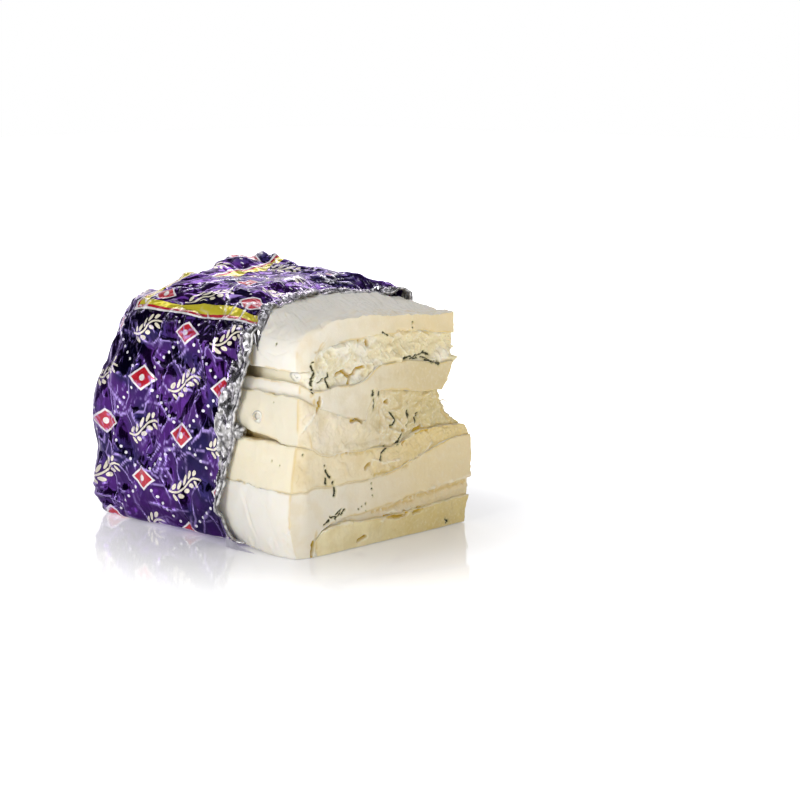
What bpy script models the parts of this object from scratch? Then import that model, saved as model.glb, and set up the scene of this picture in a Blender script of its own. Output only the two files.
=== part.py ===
"""Half a loaf of layered gorgonzola and mascarpone, wrapped in crumpled foil and cut across one end.

Frame: the loaf's length lies along X with the fresh cut face at +X, its rind side faces -Y,
+Z is up and the origin is the middle of the footprint on the table. Every size below is in
millimetres; MM turns it into the metres of the file.
"""

import math

import bmesh
import bpy
from mathutils import Vector, noise

MM = 0.001

# Loaf
CUT_X = 72.0  # the fresh cut face
END_X = 69.0  # the wrapped end, on the other side of the origin
HALF_WIDTH = 50.5
SIDE_SWELL = 3.0
END_SWELL = 1.8
FLOOR_TUCK = 1.4  # how far the wrapped side curls in where it meets the table
SHOULDER_Z = 88.0
FOIL_TOP_Z = 105.5
NEAR_SHOULDER = 15.0
FAR_SHOULDER = 8.0
END_SHOULDER = 11.0
NEAR_CORNER = 10.5  # corner radius seen from above, at the table
NEAR_CORNER_GROWTH = 27.0  # and how much larger it gets at the top
FAR_CORNER = 13.0
FAR_CORNER_GROWTH = 5.0

# Bare cheese
BARE_HALF_WIDTH = 51.5
BARE_TOP_Z = 101.4
BARE_LOW_X = 31.5  # past here the side is no longer held in by the foil, low down
BARE_HIGH_X = 47.0  # and near the top
FOOT_FLARE = 4.5  # the lowest thick layer sags out past the ones above
BACK_TOP_Y = 45.5
BACK_FOOT_Y = 57.0
BACK_HOLLOW = 8.5  # the back corner of the cut is broken away between the layers
BACK_HOLLOW_Z = 61.0
CUT_CORNER = 7.0
BACK_DROOP = 3.6  # the back of the cut's top edge hangs lower
TOP_DOME = 1.3

# Layers
GAP = 0.34
LIP_Z = 81.0  # the top layer hangs down over the side as far as this
LIP_ROW = 0.885
WALL_Z = 5.6  # the low layer wraps down to the table round the base layer
WALL_ROW = 0.845
STEP_Y = -8.0  # the upper white layer drops here
CRACK = 5.0
CRACK_X = (30.0, 68.0)

# Foil
FOIL = 0.7
FOIL_SLACK = 1.45  # from the foil's outer face to the cheese
FOIL_UNDER_X = 40.0
CRUMPLE = 2.0
CRUMPLE_SIZE = 13.0
RIM_CURL = 1.6
TOP_CREASE = 2.6
FOIL_DOME = 3.0
END_RISE = 7.0  # the bunched foil stands up at the wrapped end
END_RISE_Y = 20.0
BACK_RISE = 1.8
CREST_Y = 44.0
# The fold that stands up along the back: how high at each place along the loaf
CREST = (
    (-59.0, 1.3),
    (-53.0, 4.3),
    (-47.0, 8.0),
    (-41.5, 7.6),
    (-36.0, 7.6),
    (-30.0, 5.8),
    (-19.0, 4.7),
    (-3.0, 3.8),
    (18.5, 3.4),
    (29.0, 2.8),
    (39.0, 0.8),
    (44.0, 1.1),
)
# The torn rim: how far along the loaf the foil reaches, at each height of the side
RIM_SIDE = (
    (0.0, 31.0),
    (5.0, 28.5),
    (10.0, 27.3),
    (28.0, 26.8),
    (33.0, 28.5),
    (37.0, 31.5),
    (45.0, 34.0),
    (51.0, 38.0),
    (56.0, 37.0),
    (60.0, 34.5),
    (67.0, 36.5),
    (71.0, 39.5),
    (76.0, 42.5),
    (81.0, 44.5),
    (87.0, 42.5),
    (93.0, 44.0),
    (99.0, 46.0),
)
# And at each place across the top
RIM_TOP = (
    (-50.0, 46.0),
    (-42.6, 45.0),
    (-29.8, 37.6),
    (-8.0, 27.6),
    (7.4, 21.2),
    (17.8, 20.4),
    (25.4, 22.5),
    (33.4, 25.0),
    (38.0, 28.0),
    (41.0, 36.0),
    (43.0, 43.0),
)

# Needle marks in the side: (x, z, radius, depth, across). Shallow discs, pressed shut
NEEDLE_HOLES = ((66.0, 78.1, 2.0, 1.7, -0.885), (45.4, 58.9, 2.0, 1.0, -1.0))

CELLS_X = 11
CELLS_Y = 18


def mix(a, b, t):
    return a + (b - a) * t


def step(value, low, high):
    """0 below low, 1 above high, and an even S-curve between them."""
    t = min(max((value - low) / (high - low), 0.0), 1.0)
    return t * t * (3.0 - 2.0 * t)


def bump(value, centre, width):
    return math.exp(-(((value - centre) / width) ** 2))


def lookup(table, place):
    """The value at a place between the rows of a table, on straight lines."""
    for (a, low), (b, high) in zip(table, table[1:]):
        if place < b:
            return mix(low, high, min(max((place - a) / (b - a), 0.0), 1.0))
    return table[-1][1]


def quarter(t):
    """The drop of a quarter circle of radius 1 after running t along it."""
    t = min(max(t, 0.0), 1.0)
    return 1.0 - math.sqrt(1.0 - t * t)


def rough(x, y, z, size):
    return noise.noise(Vector((x, y, z)) / size)


# ---- the outline of the loaf, seen from above, at a height ----


def wrapped(z, half, shoulder, swell):
    """Half the loaf's size in its foil: it swells above the table and rounds off at the top."""
    belly = swell * (step(z, -6.0, 16.0) - step(z, 58.0, 92.0))
    tuck = FLOOR_TUCK * (1.0 - step(z, -3.0, 5.0))
    drop = shoulder * quarter((z - SHOULDER_Z) / (FOIL_TOP_Z - SHOULDER_Z))
    return half + belly - tuck - drop


def wrapped_near(z):
    return wrapped(z, HALF_WIDTH, NEAR_SHOULDER, SIDE_SWELL)


def wrapped_far(z):
    return wrapped(z, HALF_WIDTH, FAR_SHOULDER, SIDE_SWELL)


def wrapped_end(z):
    return wrapped(z, END_X, END_SHOULDER, END_SWELL)


def bare_near(z):
    flare = FOOT_FLARE * (step(z, -8.0, 12.0) - step(z, 24.0, 56.0))
    shoulder = NEAR_SHOULDER * quarter((z - SHOULDER_Z + 3.0) / (BARE_TOP_Z - SHOULDER_Z + 3.0))
    return BARE_HALF_WIDTH + flare - shoulder


def bare_far(z):
    foot = (BACK_FOOT_Y - BACK_TOP_Y) * (1.0 - step(z, 42.0, 52.0))
    tuck = 4.0 * (1.0 - step(z, 0.0, 20.0))
    hollow = BACK_HOLLOW * bump(z, BACK_HOLLOW_Z, 9.0)
    return BACK_TOP_Y + foot - tuck - hollow


def foil_rim(y, z):
    """How far the foil reaches along the loaf."""
    back = 37.0 + 3.0 * math.sin(z / 11.0)
    rim = mix(lookup(RIM_SIDE, z), back, step(y, -20.0, 46.0))
    rim = mix(rim, lookup(RIM_TOP, y), step(z, 93.0, 101.0))
    tatter = 0.9 * math.sin(y / 4.1) + 0.6 * math.sin(z / 3.3 + y / 9.0)
    return rim + tatter


def corner(x, y, end, near, far, z):
    """Rounds the two wrapped corners: a square corner region becomes a quarter disc."""
    tall = step(z, 45.0, 100.0)
    for side, reach, radius in (
        (-1.0, near, NEAR_CORNER + NEAR_CORNER_GROWTH * tall),
        (1.0, far, FAR_CORNER + FAR_CORNER_GROWTH * tall),
    ):
        s = (-x - (end - radius)) / radius
        t = (side * y - (reach - radius)) / radius
        if s > 0.0 and t > 0.0:
            x = -(end - radius) - radius * s * math.sqrt(1.0 - min(t, 1.0) ** 2 / 2.0)
            y = side * (reach - radius + radius * t * math.sqrt(1.0 - min(s, 1.0) ** 2 / 2.0))
            break
    return x, y


def cheese_plan(along, across, z):
    """Where a point of the cheese lies: along 0..1 runs to the cut, across -1..1 to the back."""
    lift = z + FOIL_SLACK * step(z, 70.0, 90.0)
    end = wrapped_end(lift) - FOIL_SLACK
    x = mix(-end, CUT_X, along)
    reach = mix(BARE_LOW_X, BARE_HIGH_X, step(z, 30.0, 82.0))
    bare = step(x, reach, max(52.0, reach + 9.0))
    near = mix(wrapped_near(lift) - FOIL_SLACK, bare_near(z), bare)
    far = mix(wrapped_far(lift) - FOIL_SLACK, bare_far(z), step(x, 42.0, 69.0))
    y = mix(-near, far, 0.5 + 0.5 * across)
    y += CUT_CORNER * quarter((x - CUT_X + CUT_CORNER) / CUT_CORNER) * max(0.0, -across) ** 4
    return corner(x, y, end, near, far, z)


# ---- the faces between the layers, top to bottom ----


def top_face(x, y):
    """Under the foil the top is level and a little domed. It falls away towards the cut."""
    across = min(abs(y) / 40.0, 1.0)
    along = min(abs(x + 8.0) / 52.0, 1.0)
    wrapped = FOIL_TOP_Z - FOIL_SLACK + TOP_DOME * (1.0 - across**4) * (1.0 - along**4)
    bare = BARE_TOP_Z - BACK_DROOP * step(y, -6.0, 34.0)
    return mix(wrapped, bare, step(x, 24.0, CUT_X + 3.0))


def under_top(x, y):
    return 92.5 - 4.2 * (y / 45.0) ** 2


def over_upper_white(x, y):
    ends = 4.5 * step(-y, 42.0, 50.0) - 3.2 * step(y, 12.0, 36.0)
    return 72.0 + 7.0 * step(y, STEP_Y - 4.0, STEP_Y + 3.0) + ends


def under_upper_white(x, y):
    left = 55.0 + 15.0 * max(0.0, (-y - 7.0) / 43.0) ** 1.6
    right = 68.5 - 4.7 * step(y, -7.0, 32.0)
    return mix(left, right, step(y, STEP_Y - 3.0, STEP_Y + 3.0))


def under_middle_blue(x, y):
    return 43.0 + 3.4 * step(y, 8.0, 28.0) - 1.6 * bump(y, 5.0, 9.0) + 6.0 * step(-y, 34.0, 50.0)


def over_low_white(x, y):
    return 29.3 + 11.5 * step(y, -5.0, 52.0)


def thin_white(y):
    return 1.0 + 6.6 * step(y, -40.0, 30.0)


def over_base(x, y):
    edge = (10.5 - WALL_Z + 0.7) * (1.0 - step(y, -46.0, -36.0))
    return 10.5 + 1.8 * bump(y, -25.0, 14.0) + 2.0 * step(y, 25.0, 52.0) - edge


def under_low_white(x, y):
    return over_base(x, y) + thin_white(y) * step(y, -46.0, -30.0) + GAP


def table_face(x, y):
    """The cheese stands on the foil, and past the foil's edge on the table."""
    return (FOIL + GAP) * (1.0 - step(x, FOIL_UNDER_X + 3.0, FOIL_UNDER_X + 8.0)) - GAP / 2


def crack_open(x, y):
    """The gap in the side under the middle blue layer: wide by the foil, shut at the cut."""
    return CRACK * (1.0 - step(x, *CRACK_X)) * step(x, 4.0, 18.0) * step(-y, 26.0, 46.0)


def even_row(row):
    t = 2.0 * row / CELLS_Y - 1.0
    return t * (1.15 - 0.15 * t * t)


def lip_row(row):
    """Rows under the top layer: two form the hanging lip, the third its inner wall."""
    return (-1.0, -LIP_ROW - 0.012, -LIP_ROW)[row] if row < 3 else even_row(row)


def wall_row(row):
    """Rows under the low white layer: three form its foot, the fourth the top of its wall."""
    if row < 4:
        return (-1.0, -0.93, -WALL_ROW - 0.012, -WALL_ROW)[row]
    return mix(-WALL_ROW, 1.0, (row - 3) / (CELLS_Y - 3))


def under_top_lipped(x, y, row):
    return LIP_Z if row < 2 else under_top(x, y)


def under_low_white_walled(x, y, row):
    return table_face(x, y) if row < 3 else under_low_white(x, y)


def plain(face):
    return lambda x, y, row: face(x, y)


def cracked(x, y, row):
    return under_middle_blue(x, y) + crack_open(x, y)


def along_at(column):
    """Columns stand closer together near the cut, where the layers differ most."""
    return 1.0 - (1.0 - column / CELLS_X) ** 1.6


def on_face(face, rows, column, row, shift):
    """A point of a layer's upper or lower face, on the grid that it shares with its neighbour."""
    z = 50.0
    for _ in range(4):
        x, y = cheese_plan(along_at(column), rows(row), z)
        z = face(x, y, row)
    return Vector((x, y, z + shift))


def on_layer(spec, column, row, ring):
    """A point of a layer before its cut face is shaped. Between its faces it follows the loaf."""
    grid_row = row + spec["first_row"]
    w = ring / spec["rings"]
    low = on_face(spec["under"], spec["under_rows"], column, grid_row, GAP / 2)
    high = on_face(spec["over"], spec["over_rows"], column, grid_row, -GAP / 2)
    point = low.lerp(high, w)
    if grid_row == 0 or row == CELLS_Y - spec["first_row"] or column == 0:
        across = mix(spec["under_rows"](grid_row), spec["over_rows"](grid_row), w)
        point.x, point.y = cheese_plan(along_at(column), across, point.z)
    if grid_row == 0:
        point.y -= spec["side"] * math.sin(math.pi * w)
    elif row == 0:
        point.y += GAP
    return point


def layer_point(spec, column, row, ring):
    """The same with the side drawn in and the cut face roughened, both along the grid lines."""
    point = on_layer(spec, column, row, ring)
    if row == 0 and spec["inset"]:
        beside = on_layer(spec, column, 1, ring)
        amount = spec["inset"] * step(point.x, 12.0, 24.0)
        point += (beside - point) * (amount / abs(beside.y - point.y))
    if column == CELLS_X:
        behind = layer_point(spec, column - 1, row, ring)
        w = ring / spec["rings"]
        crumb = rough(point.y, point.z, 7.0, 5.0) - 0.6 * math.sin(math.pi * w)
        depth = spec["relief"](point.y, point.z) + spec["crumb"] * crumb
        point += (point - behind) * (depth / (point.x - behind.x))
    return point


def flat(amount):
    return lambda y, z: amount


def middle_relief(y, z):
    return -0.4 - 2.3 * step(y, -8.0, 2.0)


def low_relief(y, z):
    return 0.6 * step(y, 0.0, 40.0)


def layer(name, over, under, **changes):
    spec = {
        "name": name,
        "over": over,
        "under": under,
        "over_rows": even_row,
        "under_rows": even_row,
        "first_row": 0,
        "rings": 3,
        "inset": 0.0,
        "side": 0.6,
        "crumb": 0.25,
        "relief": flat(0.0),
    }
    spec.update(changes)
    return spec


WHITE = (0.86, 0.82, 0.70)
BLUE_PASTE = (0.80, 0.73, 0.52)
LAYERS = (
    (
        layer("mascarpone_top", plain(top_face), under_top_lipped, under_rows=lip_row, rings=5),
        WHITE,
    ),
    (
        layer(
            "gorgonzola_upper",
            under_top_lipped,
            plain(over_upper_white),
            over_rows=lip_row,
            first_row=2,
            crumb=1.1,
            relief=flat(-1.3),
        ),
        BLUE_PASTE,
    ),
    (
        layer("mascarpone_upper", plain(over_upper_white), plain(under_upper_white), inset=2.0, rings=2),
        WHITE,
    ),
    (
        layer(
            "gorgonzola_middle",
            plain(under_upper_white),
            cracked,
            inset=0.6,
            crumb=1.1,
            relief=middle_relief,
        ),
        BLUE_PASTE,
    ),
    (
        layer(
            "gorgonzola_lower",
            plain(under_middle_blue),
            plain(over_low_white),
            crumb=0.7,
            relief=flat(-0.5),
        ),
        BLUE_PASTE,
    ),
    (
        layer(
            "mascarpone_lower",
            plain(over_low_white),
            under_low_white_walled,
            under_rows=wall_row,
            rings=4,
            relief=low_relief,
        ),
        WHITE,
    ),
    (
        layer(
            "mascarpone_thin",
            plain(under_low_white),
            plain(over_base),
            over_rows=wall_row,
            under_rows=wall_row,
            first_row=5,
            rings=2,
            relief=flat(-1.8),
        ),
        WHITE,
    ),
    (
        layer(
            "gorgonzola_base",
            plain(over_base),
            plain(table_face),
            over_rows=wall_row,
            under_rows=wall_row,
            first_row=3,
            rings=2,
            crumb=0.6,
            relief=flat(0.2),
        ),
        BLUE_PASTE,
    ),
)


# ---- building ----


def material(name, colour, roughness, metallic=0.0):
    made = bpy.data.materials.new(name)
    made.use_nodes = True
    shader = made.node_tree.nodes["Principled BSDF"]
    shader.inputs["Base Color"].default_value = (*colour, 1.0)
    shader.inputs["Roughness"].default_value = roughness
    shader.inputs["Metallic"].default_value = metallic
    return made


def block_mesh(cells, place, open_end=False):
    """A cube divided into a grid on every side, each grid point then set by place(i, j, k)."""
    bm = bmesh.new()
    bmesh.ops.create_cube(bm, size=2.0)
    for axis, count in enumerate(cells):
        edges = [e for e in bm.edges if abs((e.verts[0].co - e.verts[1].co)[axis]) > 0.1]
        bmesh.ops.subdivide_edges(bm, edges=edges, cuts=count - 1, use_grid_fill=True)
    if open_end:
        ends = [f for f in bm.faces if f.calc_center_median().x > 0.999]
        bmesh.ops.delete(bm, geom=ends, context="FACES")
    for vert in bm.verts:
        index = [round((vert.co[axis] + 1.0) / 2.0 * cells[axis]) for axis in range(3)]
        vert.co = place(*index) * MM
    return bm


def add_object(name, bm, home, look):
    bmesh.ops.triangulate(bm, faces=bm.faces[:], quad_method="SHORT_EDGE")
    bmesh.ops.recalc_face_normals(bm, faces=bm.faces[:])
    mesh = bpy.data.meshes.new(name)
    bm.to_mesh(mesh)
    bm.free()
    made = bpy.data.objects.new(name, mesh)
    home.objects.link(made)
    mesh.materials.append(look)
    return made


def make_layer(spec, colour, home):
    first = spec["first_row"]
    cells = (CELLS_X, CELLS_Y - first, spec["rings"])
    bm = block_mesh(cells, lambda i, j, k: layer_point(spec, i, j, k))
    look = material(spec["name"], colour, 0.5)
    return add_object(spec["name"], bm, home, look)


FOIL_CELLS = (15, 16, 13)


def foil_rise(x, y, u, v):
    """The foil's top: a low dome that lies down on the cheese at the rim, and its folds."""
    rim = step(u, 0.76, 1.0)
    ridge = bump(y, CREST_Y, 8.0)
    dome = mix(FOIL_DOME, TOP_DOME + 0.45, rim) * (1.0 - v**4) * min(1.0, 6.0 * u)
    fold = lookup(CREST, x) * ridge
    end = END_RISE * bump(y, END_RISE_Y, 24.0) * (1.0 - step(x, -56.0, -32.0))
    back = BACK_RISE * step(y, 5.0, 40.0) * (1.0 - rim * (1.0 - ridge))
    calm = (1.0 - 0.85 * ridge) * (1.0 - 0.9 * rim)
    creases = TOP_CREASE * abs(rough(x * 0.45, y * 1.3, 0.0, 9.0)) * min(1.0, 6.0 * u)
    return dome + fold + end + back + creases * calm


def foil_push(x, y, z, u):
    """How far the crumples lift the foil off the cheese, and how far its torn rim curls out."""
    crumple = rough(x, y, z * 0.6, CRUMPLE_SIZE) + 0.8 * rough(x, y, z * 0.8, 7.0) + 0.3
    return CRUMPLE * max(0.0, crumple) + RIM_CURL * step(u, 0.9, 1.0)


def foil_point(i, j, k):
    """The outer face of the wrapping: side rings first, then the table side and the domed top."""
    u = i / FOIL_CELLS[0]
    v = 2.0 * j / FOIL_CELLS[1] - 1.0
    z = FOIL_TOP_Z * 0.5 * (1.0 - math.cos(math.pi * k / FOIL_CELLS[2]))
    end = wrapped_end(z)
    near = wrapped_near(z)
    far = wrapped_far(z)
    across = v * (1.12 - 0.12 * v * v)
    y = mix(-near, far, 0.5 + 0.5 * across)
    x = mix(-end, foil_rim(y, z) if k else FOIL_UNDER_X, u)
    x, y = corner(x, y, end, near, far, z)
    point = Vector((x, y, z))
    if k == FOIL_CELLS[2]:
        point.z += foil_rise(x, y, u, v)
    facing = Vector((-(i == 0), (j == FOIL_CELLS[1]) - (j == 0), k == FOIL_CELLS[2]))
    if k and facing.length:
        point += facing.normalized() * foil_push(x, y, z, u)
    return point


def make_foil(home):
    bm = block_mesh(FOIL_CELLS, foil_point, open_end=True)
    look = material("foil_wrap", (0.09, 0.03, 0.22), 0.3, 0.85)
    made = add_object("foil_wrap", bm, home, look)
    walls = made.modifiers.new("thickness", "SOLIDIFY")
    walls.thickness = FOIL * MM
    walls.offset = -1.0
    walls.use_even_offset = False
    return made


def pierce(target, cutters, index, x, z, radius, depth, across):
    bm = bmesh.new()
    bmesh.ops.create_cone(bm, cap_ends=True, segments=12, radius1=1.0, radius2=1.0, depth=1.0)
    for vert in bm.verts:
        vert.co = Vector((vert.co.x * radius, vert.co.z * 2.0 * depth, vert.co.y * radius)) * MM
    cutter = add_object(f"needle_{index}", bm, cutters, material(f"needle_{index}", (0.8, 0.8, 0.8), 0.5))
    cutter.location = (x * MM, cheese_plan(0.9, across, z)[1] * MM, z * MM)
    cutter.hide_render = True
    cutter.display_type = "WIRE"
    cut = target.modifiers.new(f"needle_{index}", "BOOLEAN")
    cut.operation = "DIFFERENCE"
    cut.solver = "EXACT"
    cut.object = cutter


def main():
    for old in list(bpy.data.objects):
        bpy.data.objects.remove(old, do_unlink=True)
    home = bpy.data.collections.new("gorgonzola_mascarpone")
    cutters = bpy.data.collections.new("cutters")
    bpy.context.scene.collection.children.link(home)
    bpy.context.scene.collection.children.link(cutters)
    made = {spec["name"]: make_layer(spec, colour, home) for spec, colour in LAYERS}
    make_foil(home)
    targets = (made["gorgonzola_upper"], made["gorgonzola_middle"])
    for index, (target, hole) in enumerate(zip(targets, NEEDLE_HOLES)):
        pierce(target, cutters, index, *hole)


main()
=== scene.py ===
# %% [markdown]
# # A cut block of layered cheese in its crumpled foil
#
# The real thing is half a loaf of blue cheese and fresh white cream cheese, stacked in turn and
# wrapped in printed foil. One end has been cut away, so every layer shows: firm smooth white ones,
# and softer blue ones that smear and crumble under the knife.
#
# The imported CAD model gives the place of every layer. This script dresses it: each layer becomes a
# fine mesh with crumbs, smears and veins, and the foil gets its creases, its print and its torn rim.

# %% Load the fixed frame
import math

import bmesh
import bpy
import numpy as np
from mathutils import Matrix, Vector
from mathutils.kdtree import KDTree


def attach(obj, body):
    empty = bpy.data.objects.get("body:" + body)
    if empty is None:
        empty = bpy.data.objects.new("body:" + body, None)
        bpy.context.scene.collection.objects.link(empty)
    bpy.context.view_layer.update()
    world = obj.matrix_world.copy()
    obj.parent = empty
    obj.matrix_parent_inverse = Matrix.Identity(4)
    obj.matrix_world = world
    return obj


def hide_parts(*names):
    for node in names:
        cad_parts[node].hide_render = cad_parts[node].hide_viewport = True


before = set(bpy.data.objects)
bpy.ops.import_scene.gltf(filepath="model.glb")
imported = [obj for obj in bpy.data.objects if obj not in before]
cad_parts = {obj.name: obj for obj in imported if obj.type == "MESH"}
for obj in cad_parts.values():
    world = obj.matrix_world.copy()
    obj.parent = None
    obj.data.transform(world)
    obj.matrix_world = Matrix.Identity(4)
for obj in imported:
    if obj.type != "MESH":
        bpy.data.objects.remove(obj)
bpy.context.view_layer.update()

MM = 0.001
print("nodes:", ", ".join(sorted(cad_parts)))

# %% [markdown]
# ## The camera
#
# The picture was taken a little above the table, turned so that the printed side and the cut face
# both show. A lens can be guessed by eye or worked out from the lines that run away from the
# viewer. The second way was used here, because the layers only fall in the right places when the
# perspective is right.

# %% Camera
YAW = math.radians(43.5)
PITCH = math.radians(9.38)
LENS = 92.61
EYE = (0.6902, -0.6414, 0.2103)
camera_data = bpy.data.cameras.new("camera")
camera_data.sensor_width = 36.0
camera_data.lens = LENS
camera_data.clip_start = 0.01
camera = bpy.data.objects.new("camera", camera_data)
bpy.context.scene.collection.objects.link(camera)
camera.location = EYE
heading = Vector((-math.sin(YAW) * math.cos(PITCH), math.cos(YAW) * math.cos(PITCH), -math.sin(PITCH)))
camera.rotation_euler = heading.to_track_quat("-Z", "Y").to_euler()
bpy.context.scene.camera = camera
print("camera looks along", [round(v, 3) for v in heading])

# %% [markdown]
# ## Shader sums as plain Python
#
# A material's pattern is mostly arithmetic on fields: distances, waves and masks. Built by hand it
# is a wall of Math nodes. A small class that answers to + - * / lets the same thing be written as a
# formula, which is easier to read and to change. A second class holds the tree of nodes and the
# few sums that come up again and again, and a third adds the shader of one material.


# %% Field
class Field:
    """The output of a node. Each sign used on it adds the Math node for that sign."""

    def __init__(self, pattern, socket):
        self.pattern = pattern
        self.socket = socket

    def __add__(self, other):
        return self.pattern.maths("ADD", self, other)

    def __sub__(self, other):
        return self.pattern.maths("SUBTRACT", self, other)

    def __rsub__(self, other):
        return self.pattern.maths("SUBTRACT", other, self)

    def __mul__(self, other):
        return self.pattern.maths("MULTIPLY", self, other)

    def __truediv__(self, other):
        return self.pattern.maths("DIVIDE", self, other)

    __radd__ = __add__
    __rmul__ = __mul__


print("a field adds, subtracts, multiplies and divides")


# %% Pattern
class Pattern:
    """A tree of nodes, and the sums that patterns are made of."""

    def __init__(self, tree):
        self.tree = tree

    def node(self, kind, settings, inputs, output=0):
        """Any node: its settings first, then the values or links of its sockets."""
        made = self.tree.nodes.new(kind)
        for name, value in settings.items():
            setattr(made, name, value)
        for socket, value in inputs.items():
            if isinstance(value, Field):
                self.tree.links.new(value.socket, made.inputs[socket])
            else:
                made.inputs[socket].default_value = value
        return Field(self, made.outputs[output])

    def maths(self, operation, *values):
        return self.node("ShaderNodeMath", {"operation": operation}, dict(enumerate(values)))

    def nearest(self, value):
        """The nearest whole number."""
        return self.maths("ROUND", value)

    def size(self, value):
        """The value without its sign."""
        return self.maths("ABSOLUTE", value)

    def length(self, across, up):
        """How far a point is from the middle."""
        return self.maths("SQRT", across * across + up * up)

    def either(self, *masks):
        """The strongest of these masks."""
        best = masks[0]
        for mask in masks[1:]:
            best = self.maths("MAXIMUM", best, mask)
        return best

    def step(self, value, low, high):
        """0 where the value is under low, 1 over high, smooth between."""
        limits = {"Value": value, "From Min": low, "From Max": high}
        return self.node("ShaderNodeMapRange", {"interpolation_type": "SMOOTHSTEP"}, limits)

    def inside(self, distance, edge, blur=0.12):
        """1 within the edge, 0 outside."""
        return 1.0 - self.step(distance, edge - blur, edge + blur)

    def blend(self, amount, below, above):
        """One colour over another."""
        colours = [c if isinstance(c, Field) else (*c, 1.0) for c in (below, above)]
        return self.node("ShaderNodeMix", {"data_type": "RGBA"}, {0: amount, 6: colours[0], 7: colours[1]}, 2)


print("pattern sums ready")


# %% Finish
class Finish(Pattern):
    """One material and the Principled shader that it ends in."""

    def __init__(self, name, plain):
        self.material = bpy.data.materials.new(name)
        self.material.use_nodes = True
        super().__init__(self.material.node_tree)
        self.shader = self.tree.nodes["Principled BSDF"]
        for socket, value in plain.items():
            self.shader.inputs[socket].default_value = value

    def place(self):
        """The point in the frame, as a vector and as x, y and z in millimetres."""
        point = self.node("ShaderNodeTexCoord", {}, {}, "Object")
        parts = [self.node("ShaderNodeSeparateXYZ", {}, {0: point}, axis) * 1000.0 for axis in range(3)]
        return point, *parts

    def clouds(self, point, size, detail=2.0, roughness=0.5):
        """Soft noise about 0.5, with blobs of this size in millimetres."""
        values = {"Vector": point, "Scale": 1000.0 / size, "Detail": detail, "Roughness": roughness}
        return self.node("ShaderNodeTexNoise", {}, values)

    def painted(self, name):
        """A value stored on the mesh's points."""
        return self.node("ShaderNodeAttribute", {"attribute_name": name}, {}, "Fac")

    def feed(self, socket, field):
        self.tree.links.new(field.socket, self.shader.inputs[socket])

    def relief(self, height, strength, distance):
        """Fine bumps, too small for the mesh."""
        inputs = {"Height": height, "Strength": strength, "Distance": distance * MM}
        self.feed("Normal", self.node("ShaderNodeBump", {}, inputs))


print("finishes ready")

# %% [markdown]
# ## Floor and light
#
# The block stands on a glossy white table in a bright studio. The world is white for the eye, and
# for the foil's mirror-like facets it has a dark side and a bright side, because foil looks like
# foil only when it has something dark to reflect. Two soft lamps stand in front, one on each side,
# and a long one behind the block draws the edge of its top.

# %% Floor
GLOW_MIDDLE = (25.0, 17.0)
GLOW_REACH = (50.0, 205.0)
bpy.ops.object.select_all(action="DESELECT")
bpy.ops.mesh.primitive_plane_add(size=8.0, location=(0.0, 0.0, -0.0004))
floor = bpy.context.object
floor.name = "floor"
white_table = Finish(
    "white_table",
    {
        "Base Color": (0.86, 0.86, 0.87, 1.0),
        "Roughness": 0.08,
        "Specular IOR Level": 0.5,
        "Emission Color": (1.0, 1.0, 1.0, 1.0),
        "Emission Strength": 1.0,
    },
)
# The table shines a little by itself, less and less towards the block, whose shadow it would drown
x, y = white_table.place()[1:3]
away = white_table.length(x - GLOW_MIDDLE[0], y - GLOW_MIDDLE[1])
glow = white_table.step(away, *GLOW_REACH)
white_table.feed("Emission Color", white_table.blend(glow, (0.10, 0.10, 0.105), (0.95, 0.95, 0.95)))
floor.data.materials.append(white_table.material)
print("floor", floor.dimensions[:])

# %% Lamps
BLOCK_MIDDLE = (0.0, 0.0, 0.05)


def lamp(name, place, aim, size, power, tint=(1.0, 1.0, 1.0)):
    """A soft rectangular lamp that looks at a point."""
    data = bpy.data.lights.new(name, "AREA")
    data.shape = "RECTANGLE"
    data.size = size[0]
    data.size_y = size[1]
    data.energy = power
    data.color = tint
    made = bpy.data.objects.new(name, data)
    bpy.context.scene.collection.objects.link(made)
    made.location = place
    made.rotation_euler = (Vector(aim) - Vector(place)).to_track_quat("-Z", "Y").to_euler()


lamp("key_left", (0.12, -1.2, 0.55), BLOCK_MIDDLE, (0.35, 0.35), 5.2)
lamp("fill_right", (1.2, -0.55, 0.55), BLOCK_MIDDLE, (0.45, 0.45), 4.45, (1.0, 0.99, 0.97))
lamp("strip_back", (-0.9, 0.9, 0.9), (0.0, 0.0, 0.08), (1.2, 0.3), 5.0, (1.0, 0.98, 0.95))
print(len(bpy.data.lights), "lamps")

# %% What stands about the room
DARK_SIDE = (-0.72, -0.69, 0.0)
WALL_SIDE = (-0.55, 0.835, 0.0)
UP = (0.0, 0.0, 1.0)
world = bpy.context.scene.world or bpy.data.worlds.new("studio")
bpy.context.scene.world = world
world.use_nodes = True
world.node_tree.nodes.clear()
studio = Pattern(world.node_tree)
towards = studio.node("ShaderNodeTexCoord", {}, {}, "Generated")


def looking(direction):
    """How far a ray looks this way: 1 straight along it."""
    settings = {"operation": "DOT_PRODUCT"}
    return studio.node("ShaderNodeVectorMath", settings, {0: towards, 1: direction}, "Value")


# The dark side is on the left, at the height of the table
room = studio.blend(studio.step(looking(DARK_SIDE), 0.35, 0.9), (0.13, 0.13, 0.14), (0.015, 0.015, 0.02))
# Lit windows and pale things about the room, which the facets pick up as glints
spots = {"Vector": towards, "Scale": 3.6, "Detail": 1.5, "Roughness": 0.5}
clutter = studio.node("ShaderNodeTexNoise", {}, spots)
room = studio.blend(studio.step(clutter, 0.53, 0.62), room, (1.9, 1.9, 2.0))
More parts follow.
